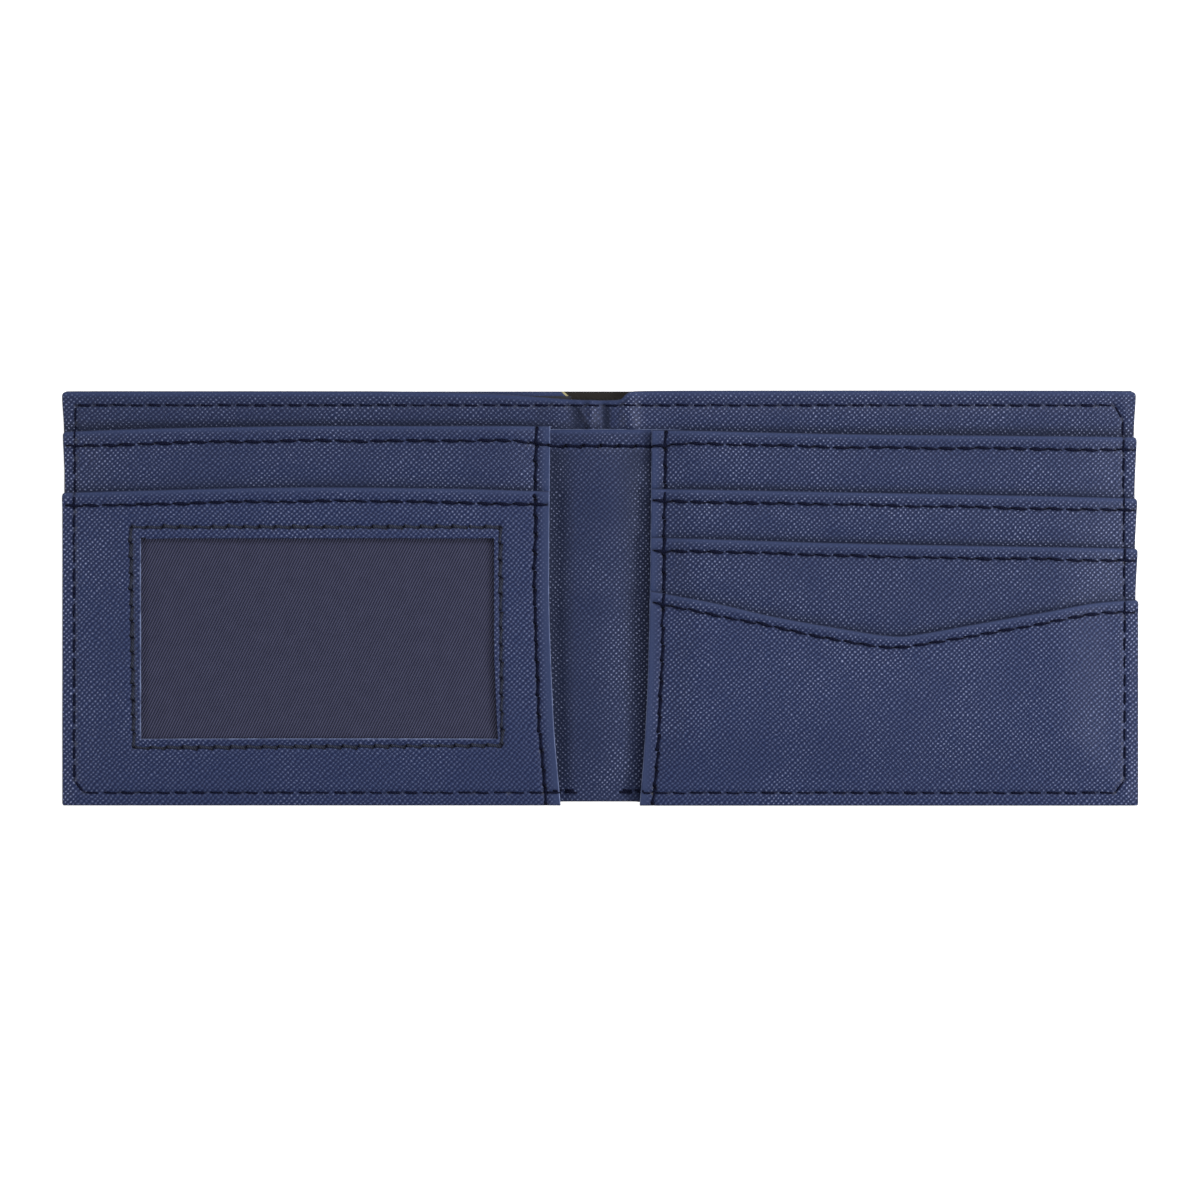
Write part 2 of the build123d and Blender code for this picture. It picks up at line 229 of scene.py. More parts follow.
@dataclass
class Seam:
    """A row of stitches along a line, with the dent that it pulls into the sheets.

    The dent is a bell across the line plus a deeper one at each needle hole, longer than it is wide.
    """

    name: str
    path: Array
    stops: tuple[int, ...] = ()
    pitch: float = 3.75
    dent: float = 0.2
    dent_width: float = 0.7
    hole_dent: float = 0.3
    hole_width: float = 0.3
    hole_length: float = 0.62
    reach: float = 3.0

    def holes(self) -> Array:
        """Needle holes: evenly spaced along the line between each stop and the next."""
        lengths = np.hypot(*np.diff(self.path, axis=0).T)
        along = np.concatenate([[0.0], np.cumsum(lengths)])
        ends = along[[0, *self.stops, len(along) - 1]]
        parts = [
            np.linspace(low, high, max(1, round((high - low) / self.pitch)) + 1)[:-1]
            for low, high in zip(ends[:-1], ends[1:])
        ]
        at = np.append(np.concatenate(parts), ends[-1])
        return np.stack([np.interp(at, along, self.path[:, axis]) for axis in (0, 1)], 1)

    def near(self, x: Array, y: Array) -> Array:
        """Which places are near enough for the seam to mark."""
        low, high = self.path.min(0) - self.reach, self.path.max(0) + self.reach
        return (x > low[0]) & (x < high[0]) & (y > low[1]) & (y < high[1])

    def marks(self, x: Array, y: Array) -> tuple[Array, Array]:
        """How deep the seam presses at each place, and how near a needle hole each is.

        Args:
            x, y: Places, as flat arrays.

        Returns:
            Depth in millimetres, and a value from 0 to 1 that is 1 in a hole.
        """
        depth, hole = np.zeros(x.shape), np.zeros(x.shape)
        close = self.near(x, y)
        if close.any():
            cx, cy = x[close], y[close]
            holes = self.holes()
            gap = np.hypot(cx[:, None] - holes[:, 0], cy[:, None] - holes[:, 1]).min(1)
            across = distance_to_path(cx, cy, self.path)
            hole[close] = bump(gap, self.hole_length) * bump(across, self.hole_width)
            depth[close] = self.dent * bump(across, self.dent_width) + self.hole_dent * hole[close]
        return depth, hole


def along_mouth(mouth: Line, inset: float, start: float, end: float, side: Side, dip: float) -> Array:
    """Line of a hem seam: about an inset below a mouth, a little lower at its first end."""
    out = np.linspace(start, end, 60)
    wobble = SEAM_WOBBLE * wander(out, np.full(60, mouth(out).mean()), 81, 20.0)
    sag = dip * (1 - ease((out - start) / 7.0))
    return np.stack([side.value * out, mouth(out) - inset + (wobble - sag)], 1)


def along_edge(edge: Line, inset: float, low: float, high: float, side: Side) -> Array:
    """Line of a side seam: about a fixed inset outwards from an inner edge, from one height to another."""
    y = np.linspace(low, high, 50)
    wobble = SEAM_WOBBLE * wander(np.full(50, 9.0 * side.value), y, 82, 18.0)
    return np.stack([side.value * (edge(y) + inset + wobble), y], 1)


# ---- Sheets ----

@dataclass
class Window:
    """Opening cut in a sheet: two distances outwards from the middle, and two heights."""

    inner: float
    outer: float
    low: float
    high: float

    def holds(self, out: Array, y: Array) -> Array:
        """Which places lie inside the window."""
        return (out > self.inner) & (out < self.outer) & (y > self.low) & (y < self.high)

    def gap(self, out: Array, y: Array) -> Array:
        """Distance outwards from the window's edge, 0 inside it."""
        dx = np.maximum(np.maximum(self.inner - out, out - self.outer), 0)
        dy = np.maximum(np.maximum(self.low - y, y - self.high), 0)
        return np.hypot(dx, dy)


@dataclass
class Sheet:
    """One sheet of a leaf: an outline of four lines, a height field, a thickness and rounded edges.

    The grid's two parameters are the distances along the sheet from its inner and lower edges. The top is
    the sheet's level, less what the seams squeeze it down, less a quarter round at each edge, plus its
    hem, plus its unevenness.
    """

    name: str
    side: Side
    top: float
    thickness: float
    inner: Line
    outer: Line
    low: Line
    mouth: Line
    round_inner: float = 0.3
    round_outer: float = 0.25
    round_low: float = 0.25
    round_mouth: float = 0.48
    hem: float = 0.0
    hem_width: float = 3.0
    squeeze: Field | None = None
    relief: Field | None = None
    # shade: painted shade over the sheet.
    shade: Field | None = None
    # gleam: strength of the painted highlight on the grain's dots.
    gleam: Field | None = None
    rim_tilt: float = 0.0
    smooth_mouth: float = 1.2
    smooth_inner: float = 0.0
    seams: list[Seam] = field(default_factory=list)
    under_seams: list[Seam] = field(default_factory=list)
    uneven: float = 0.07
    seed: int = 1
    band: float = 6.0
    fine: float = 0.33
    coarse: float = 1.5
    lead: tuple[float, ...] = (0.04, 0.1, 0.18, 0.3, 0.45)
    window: Window | None = None
    round_under: float = 0.0
    # Edges that get the pale line: lighter cut edge with a painted highlight.
    pale_edges: tuple[str, ...] = ("inner",)

    def edge_distances(self, out: Array, y: Array) -> dict[str, Array]:
        """Distance inwards from each of the four edges."""
        return {
            "inner": out - self.inner(y),
            "outer": self.outer(y) - out,
            "low": y - self.low(out),
            "mouth": self.mouth(out) - y,
        }

    def covers(self, x: Array, y: Array) -> Array:
        """Which places lie on the sheet, its window left out."""
        out = self.side.value * x
        on = np.all([gap >= 0 for gap in self.edge_distances(out, y).values()], axis=0)
        return on & ~self.window.holds(out, y) if self.window else on

    def smooth_top(self, out: Array, y: Array) -> Array:
        """Height of the top without its seams and edge rounding."""
        height = np.full(np.shape(out), self.top)
        if self.squeeze:
            height = height - self.squeeze(out, y)
        if self.relief:
            height = height + self.relief(out, y)
        if self.uneven:
            height = height + self.uneven * wander(out, y, self.seed, 34.0)
        return height

    def surface(self, x: Array, y: Array) -> tuple[Array, Array]:
        """Height of the top, and how near a needle hole each place is.

        Args:
            x, y: Places, as flat arrays.

        Returns:
            Height, and a value from 0 to 1 that is 1 in a hole.
        """
        out = self.side.value * x
        gaps = self.edge_distances(out, y)
        height = self.smooth_top(out, y)
        if self.hem:
            band = 1 - ease((gaps["mouth"] - self.hem_width + 0.2) / 1.3)
            height += self.hem * band * (0.85 + 0.15 * np.sin(gaps["mouth"] / self.hem_width * np.pi))
        for edge, radius in self.roundings():
            height -= quarter_round(gaps[edge], radius)
        height -= self.tilt(gaps)
        if self.window:
            height -= quarter_round(self.window.gap(out, y), 0.12)
        holes = np.zeros(x.shape)
        for seam in self.seams:
            depth, hole = seam.marks(x, y)
            height -= depth
            holes = np.maximum(holes, hole)
        return height, holes

    def tilt(self, gaps: dict[str, Array]) -> Array:
        """How far the sheet leans down towards its outer and lower edges."""
        return self.rim_tilt * ease((3.0 - np.minimum(gaps["outer"], gaps["low"])) / 3.0)

    def roundings(self) -> list[tuple[str, float]]:
        """Each edge that is rounded, with its radius."""
        radii = {
            "inner": self.round_inner,
            "outer": self.round_outer,
            "low": self.round_low,
            "mouth": self.round_mouth,
        }
        return [(edge, radius) for edge, radius in radii.items() if radius > 0]

    def pale(self, out: Array, y: Array, gaps: dict[str, Array]) -> Array:
        """How much of each place is painted pale: the lighter cut edge, brightened as a painted highlight, a
        hair's breadth along the named edges, unevenly.

        Args:
            out, y: Places.
            gaps: Distance inwards from each edge.

        Returns:
            Values from 0 to 1.
        """
        total = np.zeros(out.shape)
        lines = [(gaps[edge], 0.13) for edge in self.pale_edges if edge != "window"]
        # On the window, the painted highlight lies only along its outer and lower cut edges, which face the
        # lights.
        if self.window and "window" in self.pale_edges:
            hole = self.window
            beside = np.where(np.abs(y - 0.5 * (hole.low + hole.high)) < 0.5 * (hole.high - hole.low),
                              out - hole.outer, 9.0)
            below = np.where((out > hole.inner) & (out < hole.outer), hole.low - y, 9.0)
            lines += [(np.where(gap < -0.01, 9.0, gap), 0.3) for gap in (beside, below)]
        for gap, width in lines:
            total = np.maximum(total, 1 - ease((gap - 0.02) / width))
        return total * np.clip(0.62 + 0.3 * wander(out, y, self.seed + 5, 3.0), 0.1, 1.0)

    def grid(self) -> tuple[Array, Array]:
        """Places of the grid: distance outwards and Y, each as an array of rows along the leaf."""
        hole = self.window
        middle_y = np.array([0.5 * (float(self.low(np.array(20.0))) + float(self.mouth(np.array(20.0))))])
        first_out = self.inner(middle_y)[0]
        width = float((self.outer(middle_y) - self.inner(middle_y))[0])
        middle_out = np.array([float(first_out) + width / 2])
        first_y = self.low(middle_out)[0]
        height = float((self.mouth(middle_out) - self.low(middle_out))[0])
        across = self.lines(width, hole and (hole.inner, hole.outer), first_out)
        up = self.lines(height, hole and (hole.low, hole.high), first_y)
        s, t = np.meshgrid(across, up, indexing="ij")
        out, y = s + first_out, t + first_y
        band_s, band_t = min(self.band, width * 0.45), min(self.band, height * 0.45)
        for _ in range(4):
            out_next = stretch(s, self.inner(y), self.outer(y), band_s)
            y = stretch(t, self.low(out), self.mouth(out), band_t)
            out = out_next
        return out, y

    def lines(self, length: float, hole: tuple[float, float] | None, start: float) -> Array:
        """Grid positions along one side, with fine stretches beside the window's two edges too."""
        steps = graded(length, self.band, self.fine, self.coarse, self.lead)
        if not hole:
            return steps
        beside = np.concatenate([np.array((0.0,) + self.lead), np.arange(0.45 + self.fine, 3.2, self.fine)])
        low, high = hole[0] - start, hole[1] - start
        near = np.concatenate([low - beside, high + beside])
        free = (steps < low - 3.3) | ((steps > low + 0.8) & (steps < high - 0.8)) | (steps > high + 3.3)
        return np.unique(np.round(np.concatenate([steps[free], near]), 5))

    def build(self) -> Piece:
        """Makes the sheet's closed mesh.

        Returns:
            The object, with its grain map and the attributes that its finish reads.
        """
        out, y = self.grid()
        x = self.side.value * out
        flat_x, flat_y = x.ravel(), y.ravel()
        top, holes = self.surface(flat_x, flat_y)
        gaps = self.edge_distances(out.ravel(), flat_y)
        under = self.smooth_top(out.ravel(), flat_y) - self.thickness
        under -= self.tilt(gaps)
        for seam in self.under_seams:
            under += seam.marks(flat_x, flat_y)[0]
        if self.round_under:
            for edge, _ in self.roundings():
                under += quarter_round(gaps[edge], self.round_under)
        under = np.minimum(under, top - 0.05)
        keep = None
        if self.window:
            centres = [0.25 * (at[:-1, :-1] + at[1:, :-1] + at[:-1, 1:] + at[1:, 1:]) for at in (out, y)]
            keep = ~self.window.holds(*centres)
        rim = np.max([1 - ease(gaps[edge] / 0.4) for edge in ("outer", "low", "mouth")], axis=0)
        crown = np.zeros(flat_x.shape)
        for edge, width in (("mouth", self.smooth_mouth), ("inner", self.smooth_inner)):
            if width:
                crown = np.maximum(crown, 1 - ease((gaps[edge] - 0.25 * width) / width))
        pale = self.pale(out.ravel(), flat_y, gaps)
        shade = self.shade(out.ravel(), flat_y) if self.shade else np.zeros(flat_x.shape)
        gleam = self.gleam(out.ravel(), flat_y) if self.gleam else np.full(flat_x.shape, PLAIN_GLEAM)
        attributes = {"pale": pale, "rim": rim, "hole": holes, "crown": crown, "shade": shade, "gleam": gleam,
                      "flat_x": flat_x * MM, "flat_y": flat_y * MM}
        return slab(self.name, x, y, top.reshape(x.shape), under.reshape(x.shape), keep,
                    attributes, self.side, self.seed)


def quarter_round(gap: Array, radius: float) -> Array:
    """Drop of a quarter round edge: the radius at the edge, easing to nothing a radius inside it."""
    inside = np.clip(radius - gap, 0.0, radius)
    return radius - np.sqrt(np.maximum(radius * radius - inside * inside, 0.0))


def linked(name: str, data: bpy.types.ID) -> Piece:
    """New object in the scene that holds a mesh, a light or a camera."""
    piece = bpy.data.objects.new(name, data)
    bpy.context.scene.collection.objects.link(piece)
    return piece


def slab(name: str, x: Array, y: Array, top: Array, under: Array, keep: Array | None,
         attributes: dict[str, Array], side: Side, seed: int) -> Piece:
    """Closed mesh of a sheet: a top grid, the same grid below it, and walls round every free edge.

    Args:
        name: The piece's name.
        x, y: Grid places.
        top, under: Heights of the two faces.
        keep: Which grid cells the sheet fills, or None for all.
        attributes: Values at the grid's points, for the finish.
        side: The leaf that the sheet is on, which sets which way its cells turn.
        seed: Seed of the small turn and shift of the grain on this sheet.

    Returns:
        The object, in metres, at the origin.
    """
    rows, columns = x.shape
    index = np.arange(rows * columns).reshape(rows, columns)
    cells = np.stack([index[:-1, :-1], index[1:, :-1], index[1:, 1:], index[:-1, 1:]], -1)
    cells = cells[keep] if keep is not None else cells.reshape(-1, 4)
    if side is Side.LEFT:
        cells = cells[:, ::-1]
    total = rows * columns
    edges = np.stack([cells, np.roll(cells, -1, axis=1)], -1).reshape(-1, 2)
    free = edges[~np.isin(edges[:, 0] * total + edges[:, 1], edges[:, 1] * total + edges[:, 0])]
    walls = np.stack([free[:, 0], free[:, 0] + total, free[:, 1] + total, free[:, 1]], -1)
    faces = np.concatenate([cells, cells[:, ::-1] + total, walls])
    heights = np.append(top.ravel(), under.ravel())
    points = np.stack([np.tile(x.ravel(), 2), np.tile(y.ravel(), 2), heights], 1)
    used, faces = np.unique(faces, return_inverse=True)
    faces = faces.reshape(-1, 4)
    points = points[used]
    mesh = bpy.data.meshes.new(name)
    mesh.from_pydata((points * MM).tolist(), [], faces.tolist())
    mesh.polygons.foreach_set("use_smooth", np.ones(len(faces), bool))
    for key, values in attributes.items():
        layer = mesh.attributes.new(key, "FLOAT", "POINT")
        layer.data.foreach_set("value", np.tile(values, 2)[used].astype(np.float32))
    random = np.random.default_rng(seed + 100)
    turn = math.radians(random.uniform(-1.6, 1.6))
    shift = random.uniform(0.0, 5.0, 2)
    u = points[:, 0] * math.cos(turn) - points[:, 1] * math.sin(turn) + shift[0]
    v = points[:, 0] * math.sin(turn) + points[:, 1] * math.cos(turn) + shift[1]
    corners = np.stack([u, v], 1)[faces.ravel()] * MM
    mesh.uv_layers.new(name="Grain").data.foreach_set("uv", corners.astype(np.float32).ravel())
    mesh.set_sharp_from_angle(angle=math.radians(50))
    mesh.update()
    return linked(name, mesh)


# ---- Stitches ----

@dataclass
class Stitches:
    """A group of stitches: each a flattened tube that dips into a needle hole at both ends.

    A tube follows the line between its holes. Its rings are ellipses whose size and height above the sheet
    change along it as the lists below say, and its ends close on a face each.
    """

    half_width: float = 0.22
    half_height: float = 0.16
    along: tuple[float, ...] = (0.09, 0.15, 0.26, 0.5, 0.74, 0.85, 0.91)
    swell: tuple[float, ...] = (0.7, 1.05, 1.05, 0.9, 1.05, 1.05, 0.7)
    lift: tuple[float, ...] = (-0.34, -0.04, 0.12, 0.14, 0.12, -0.04, -0.34)
    around: int = 6
    sway: float = 0.06
    slant: float = 0.07
    vary: float = 0.12

    def mesh(self, name: str, runs: list[tuple[Array, Field]], seed: int) -> Piece:
        """Makes one mesh of all the stitches.

        Args:
            name: The piece's name.
            runs: For each run, its stitches as an array of (start, end) places, and the height of the
                surface that they lie on.
            seed: Seed of the small differences between stitches.

        Returns:
            The object, in metres, at the origin.
        """
        random = np.random.default_rng(seed)
        rings = [self.rings(ends, height, random) for ends, height in runs if len(ends)]
        points = np.concatenate(rings)
        count, steps, around, _ = points.shape
        index = np.arange(count * steps * around).reshape(count, steps, around)
        after = np.roll(index, -1, axis=2)
        walls = np.stack([index[:, :-1], after[:, :-1], after[:, 1:], index[:, 1:]], -1).reshape(-1, 4)
        caps = np.concatenate([index[:, 0, ::-1], index[:, -1]])
        mesh = bpy.data.meshes.new(name)
        mesh.from_pydata((points.reshape(-1, 3) * MM).tolist(), [], walls.tolist() + caps.tolist())
        mesh.polygons.foreach_set("use_smooth", np.ones(len(mesh.polygons), bool))
        near_hole = 1 - ease(np.minimum(self.along, 1 - np.array(self.along)) / 0.2)
        tips = np.broadcast_to(near_hole[None, :, None], points.shape[:3]).ravel()
        mesh.attributes.new("tip", "FLOAT", "POINT").data.foreach_set("value", tips.astype(np.float32))
        mesh.update()
        return linked(name, mesh)

    def rings(self, ends: Array, height: Field, random: np.random.Generator) -> Array:
        """Rings of a run of stitches: an array of stitches by steps by points around by XYZ."""
        start, end = ends[:, 0], ends[:, 1]
        run = (end - start) / np.linalg.norm(end - start, axis=1, keepdims=True)
        sideways = np.stack([-run[:, 1], run[:, 0]], 1)
        start = start + self.slant * sideways + random.normal(0, self.sway, start.shape)
        end = end - self.slant * sideways
        along = np.array(self.along)
        centre = start[:, None] + (end - start)[:, None] * along[:, None]
        across = sideways[:, None, None]
        base = height(centre[..., 0].ravel(), centre[..., 1].ravel()).reshape(centre.shape[:2])
        middle = base + np.array(self.lift)
        turn = np.linspace(0.0, 2 * np.pi, self.around, endpoint=False)
        swell = np.array(self.swell)[None, :, None]
        weight = 1 + random.normal(0, self.vary, (len(ends), 1, 1))
        side = np.cos(turn)[None, None] * self.half_width * swell * weight
        up = np.sin(turn)[None, None] * self.half_height * swell
        place = centre[:, :, None] + across * side[..., None]
        return np.concatenate([place, (middle[..., None] + up)[..., None]], -1)


# ---- Finishes ----

class Graph:
    """A material's shader nodes, with short ways to add and link them."""

    def __init__(self, name: str) -> None:
        """Starts a material with one Principled shader."""
        self.material = bpy.data.materials.new(name)
        self.material.use_nodes = True
        self.tree = self.material.node_tree
        self.tree.nodes.clear()
        self.output = self.add("ShaderNodeOutputMaterial")
        self.shader = self.add("ShaderNodeBsdfPrincipled")
        self.link(self.shader.outputs["BSDF"], self.output.inputs["Surface"])

    def add(self, kind: str, **settings: object) -> bpy.types.Node:
        """Adds a node and sets its properties."""
        node = self.tree.nodes.new(kind)
        for key, value in settings.items():
            setattr(node, key, value)
        return node

    def link(self, source: object, target: Socket) -> None:
        """Links a socket to an input, or sets the input's value."""
        if isinstance(source, Socket):
            self.tree.links.new(source, target)
        else:
            target.default_value = source

    def math(self, operation: str, first: object, second: object = 0.0, third: object = 0.0) -> Socket:
        """One arithmetic step."""
        node = self.add("ShaderNodeMath", operation=operation)
        for source, target in zip((first, second, third), node.inputs):
            self.link(source, target)
        return node.outputs[0]

    def noise(self, vector: object, scale: float, detail: float = 2.0) -> Socket:
        """Smooth noise from 0 to 1, with the given number of features to a millimetre."""
        node = self.add("ShaderNodeTexNoise")
        self.link(vector, node.inputs["Vector"])
        node.inputs["Scale"].default_value = scale / MM
        node.inputs["Detail"].default_value = detail
        return node.outputs["Fac"]

    def mix(self, share: object, first: object, second: object) -> Socket:
        """Blend of two colours."""
        node = self.add("ShaderNodeMix", data_type="RGBA")
        for source, target in ((share, node.inputs[0]), (first, node.inputs[6]), (second, node.inputs[7])):
            self.link(source, target)
        return node.outputs[2]

    def ramp(self, value: object, low: float, high: float) -> Socket:
        """Value turned into a share that goes smoothly from 0 at low to 1 at high."""
        node = self.add("ShaderNodeMapRange", interpolation_type="SMOOTHSTEP")
        self.link(value, node.inputs[0])
        node.inputs[1].default_value, node.inputs[2].default_value = low, high
        return node.outputs[0]

    def grain(self) -> Socket:
        """Place on the sheet's Grain map."""
        return self.add("ShaderNodeUVMap", uv_map="Grain").outputs[0]

    def place(self) -> Socket:
        """Place in the object's own space."""
        return self.add("ShaderNodeTexCoord").outputs["Object"]

    def attribute(self, name: str) -> Socket:
        """A value stored at the mesh's points."""
        return self.add("ShaderNodeAttribute", attribute_name=name).outputs["Fac"]

    def axes(self, vector: object) -> tuple[Socket, Socket]:
        """The X and Y of a vector."""
        node = self.add("ShaderNodeSeparateXYZ")
        self.link(vector, node.inputs[0])
        return node.outputs[0], node.outputs[1]

    def wave(self, x: object, y: object, angle: float, pitch: float, phase: object = 0.0) -> Socket:
        """Cosine ridges from 0 to 1 across a direction.

        Args:
            x, y: The place's coordinates, in metres.
            angle: Direction that the wave runs in, in degrees.
            pitch: Distance between ridges, in millimetres.
            phase: Shift, in radians.

        Returns:
            0.5 + 0.5 cos(2 pi distance / pitch + phase).
        """
        turns = 2 * math.pi / (pitch * MM)
        part_x = self.math("MULTIPLY", x, math.cos(math.radians(angle)) * turns)
        place = self.math("MULTIPLY_ADD", y, math.sin(math.radians(angle)) * turns, part_x)
        cosine = self.math("COSINE", self.math("ADD", place, phase))
        return self.math("MULTIPLY_ADD", cosine, 0.5, 0.5)

    def finish(self, colour: Socket, roughness: object, normal: Socket, specular: float = 0.5) -> Material:
        """Links the shader's colour, roughness and normals, and sets its specular level."""
        self.link(colour, self.shader.inputs["Base Color"])
        self.link(roughness, self.shader.inputs["Roughness"])
        self.link(normal, self.shader.inputs["Normal"])
        self.shader.inputs["Specular IOR Level"].default_value = specular
        return self.material

    def bumps(self, height: object, depth: float, normal: object = None) -> Socket:
        """Normals of a relief whose full height is the given depth in millimetres."""
        node = self.add("ShaderNodeBump")
        node.inputs["Distance"].default_value = depth * MM
        self.link(height, node.inputs["Height"])
        if normal is not None:
            self.link(normal, node.inputs["Normal"])
        return node.outputs["Normal"]


@dataclass(frozen=True)
class GrainLeather:
    """Cross-grain embossed leather: raised dots where two sets of diagonal ridges cross."""

    name: str
    ground: Colour = (0.024, 0.040, 0.115, 1.0)
    # dot: colour of the painted highlight on the raised dots.
    dot: Colour = (0.25, 0.285, 0.46, 1.0)
    # valley: colour of the painted shade in the grain's valleys.
    valley: Colour = (0.012, 0.018, 0.062, 1.0)
    ridge: Colour = (0.046, 0.064, 0.155, 1.0)
    pale: Colour = (0.22, 0.27, 0.46, 1.0)
    dark: Colour = (0.006, 0.007, 0.018, 1.0)
    # hollow: colour of the painted shade.
    hollow: Colour = (0.005, 0.010, 0.034, 1.0)
    crown: Colour = (0.027, 0.042, 0.113, 1.0)
    pitch: float = 0.79
    depth: float = 0.11
    roughness: float = 0.42
    band: bool = False
    band_colour: Colour = (0.012, 0.009, 0.007, 1.0)
    line_colour: Colour = (0.42, 0.38, 0.20, 1.0)
    band_half_width: float = 6.15
    line_width: float = 0.6

    def material(self) -> Material:
        """Makes the finish's material.

        Returns:
            The material. It reads the Grain map and the attributes that Sheet.build writes.
        """
        graph = Graph(self.name)
        place = graph.grain()
        x, y = graph.axes(place)
        drift = self.wandering(graph, place, (0.41, 7.0), (0.12, 9.0))
        sway = self.wandering(graph, place, (0.53, 6.5), (0.15, 7.0))
        rising = graph.wave(x, y, 45.0, self.pitch, drift)
        falling = graph.wave(x, y, -45.0, self.pitch, sway)
        crossing = graph.math("MULTIPLY", rising, falling)
        dots = graph.ramp(crossing, 0.45, 0.98)
        ridges = graph.math("MAXIMUM", graph.ramp(rising, 0.55, 1.0), graph.ramp(falling, 0.55, 1.0))
        patches = graph.ramp(graph.noise(place, 0.16, 3.0), 0.3, 0.7)
        speck = graph.ramp(graph.noise(place, 2.2, 1.0), 0.3, 0.75)
        shade = graph.attribute("shade")
        uneven = graph.math("MULTIPLY_ADD", patches, 0.6, graph.math("MULTIPLY", speck, 1.5))
        # Strength of the painted highlight on the dots: the gleam attribute, made uneven.
        strength = graph.math("MULTIPLY", graph.attribute("gleam"), uneven)
        crown = graph.math("SUBTRACT", 1.0, graph.math("MULTIPLY", graph.attribute("crown"), 0.85))
        shown = graph.math("MULTIPLY", graph.math("MULTIPLY", dots, strength), crown)
        # Painted shade in the grain's valleys between the dots.
        colour = graph.mix(graph.ramp(crossing, 0.0, 0.3), self.valley, self.ground)
        colour = graph.mix(graph.math("MULTIPLY", graph.ramp(falling, 0.45, 1.0), 0.4), colour, self.ridge)
        # Painted shade where the shade attribute says: beside mouths, down the strip's sides and in the
        # facing's folds.
        colour = graph.mix(graph.math("MULTIPLY", shade, 0.92), colour, self.hollow)
        colour = graph.mix(graph.attribute("crown"), colour, self.crown)
        # Painted highlight on the raised dots.
        colour = graph.mix(shown, colour, self.dot)
        if self.band:
            colour = self.banded(graph, colour)
        colour = graph.mix(graph.math("MULTIPLY", graph.attribute("rim"), 0.55), colour, self.dark)
        # Pale cut edge, with a painted highlight.
        colour = graph.mix(graph.attribute("pale"), colour, self.pale)
        # Painted shade in the needle holes.
        colour = graph.mix(graph.math("MULTIPLY", graph.attribute("hole"), 0.9), colour, self.dark)
        worn = graph.math("MULTIPLY_ADD", graph.noise(place, 0.5, 3.0), 0.16, self.roughness - 0.08)
        worn = graph.math("MULTIPLY_ADD", graph.math("ADD", graph.attribute("crown"), shade), 0.3, worn)
        relief = graph.math("MULTIPLY_ADD", dots, 0.7, graph.math("MULTIPLY", ridges, 0.3))
        relief = graph.math("MULTIPLY", relief, crown)
        pores = graph.bumps(graph.noise(place, 5.0, 2.0), 0.012)
        return graph.finish(colour, worn, graph.bumps(relief, self.depth, pores), 0.3)

    def wandering(self, graph: Graph, place: Socket, small: tuple[float, float],
                  large: tuple[float, float]) -> Socket:
        """Phase that keeps the ridges from running dead straight: two noises, each a (scale, amount)."""
        near = graph.noise(place, small[0])
        far = graph.math("MULTIPLY", graph.noise(place, large[0]), large[1])
        return graph.math("MULTIPLY_ADD", near, small[1], far)

    def banded(self, graph: Graph, colour: Socket) -> Socket:
        """Adds the plain dark band along the spine, with a fine pale line down each of its sides."""
        x, y = graph.attribute("flat_x"), graph.attribute("flat_y")
        turned_in = graph.math("MAXIMUM", graph.math("SUBTRACT", y, 42.3 * MM), 0.0)
        half = graph.math("MULTIPLY_ADD", turned_in, 1.03, self.band_half_width * MM)
        inside = graph.math("SUBTRACT", half, graph.math("ABSOLUTE", x))
        in_band = graph.math("GREATER_THAN", inside, 0.0)
        in_line = graph.math("LESS_THAN", graph.math("ABSOLUTE", inside), self.line_width * MM / 2)
        return graph.mix(in_line, graph.mix(in_band, colour, self.band_colour), self.line_colour)


@dataclass(frozen=True)
class WovenLining:
    """Woven polyester: fine ribs across one direction, with a slight unevenness along them."""

    name: str
    ground: Colour
    rib: Colour
    angle: float
    pitch: float
    depth: float = 0.05
    roughness: float = 0.75
    specular: float = 0.2

    def material(self) -> Material:
        """Makes the finish's material, which reads the Grain map."""
        graph = Graph(self.name)
        place = graph.grain()
        x, y = graph.axes(place)
        sway = graph.math("MULTIPLY", graph.math("SUBTRACT", graph.noise(place, 0.06), 0.5), 4.0)
        ribs = graph.wave(x, y, self.angle, self.pitch, sway)
        threads = graph.wave(x, y, self.angle + 72.0, self.pitch * 0.7, sway)
        speck = graph.noise(place, 0.35, 3.0)
        weave = graph.math("MULTIPLY", graph.math("MULTIPLY_ADD", threads, 0.25, 0.75), ribs)
        shown = graph.math("MULTIPLY", weave, graph.math("MULTIPLY_ADD", speck, 0.5, 0.65))
        colour = graph.mix(shown, self.ground, self.rib)
        return graph.finish(colour, self.roughness, graph.bumps(weave, self.depth), self.specular)


@dataclass(frozen=True)
class WaxedThread:
    """Twisted thread: slanting strands along each stitch, with painted shade where it goes into a needle
    hole.
    """

    name: str = "waxed_thread"
    # tip: colour of the painted shade in the needle holes.
    tip: Colour = (0.0010, 0.0012, 0.006, 1.0)
    colour: Colour = (0.0018, 0.0026, 0.012, 1.0)
    strand: Colour = (0.006, 0.008, 0.028, 1.0)
    pitch: float = 0.42
    twist: float = 32.0
    depth: float = 0.04
    roughness: float = 0.7
    specular: float = 0.08

    def material(self) -> Material:
        """Makes the finish's material."""
        graph = Graph(self.name)
        x, y = graph.axes(graph.place())
        twist = graph.wave(x, y, self.twist, self.pitch)
        # Painted shade at the stitch's tips, where the thread dips into its hole.
        colour = graph.mix(graph.attribute("tip"), graph.mix(twist, self.colour, self.strand), self.tip)
        return graph.finish(colour, self.roughness, graph.bumps(twist, self.depth), self.specular)


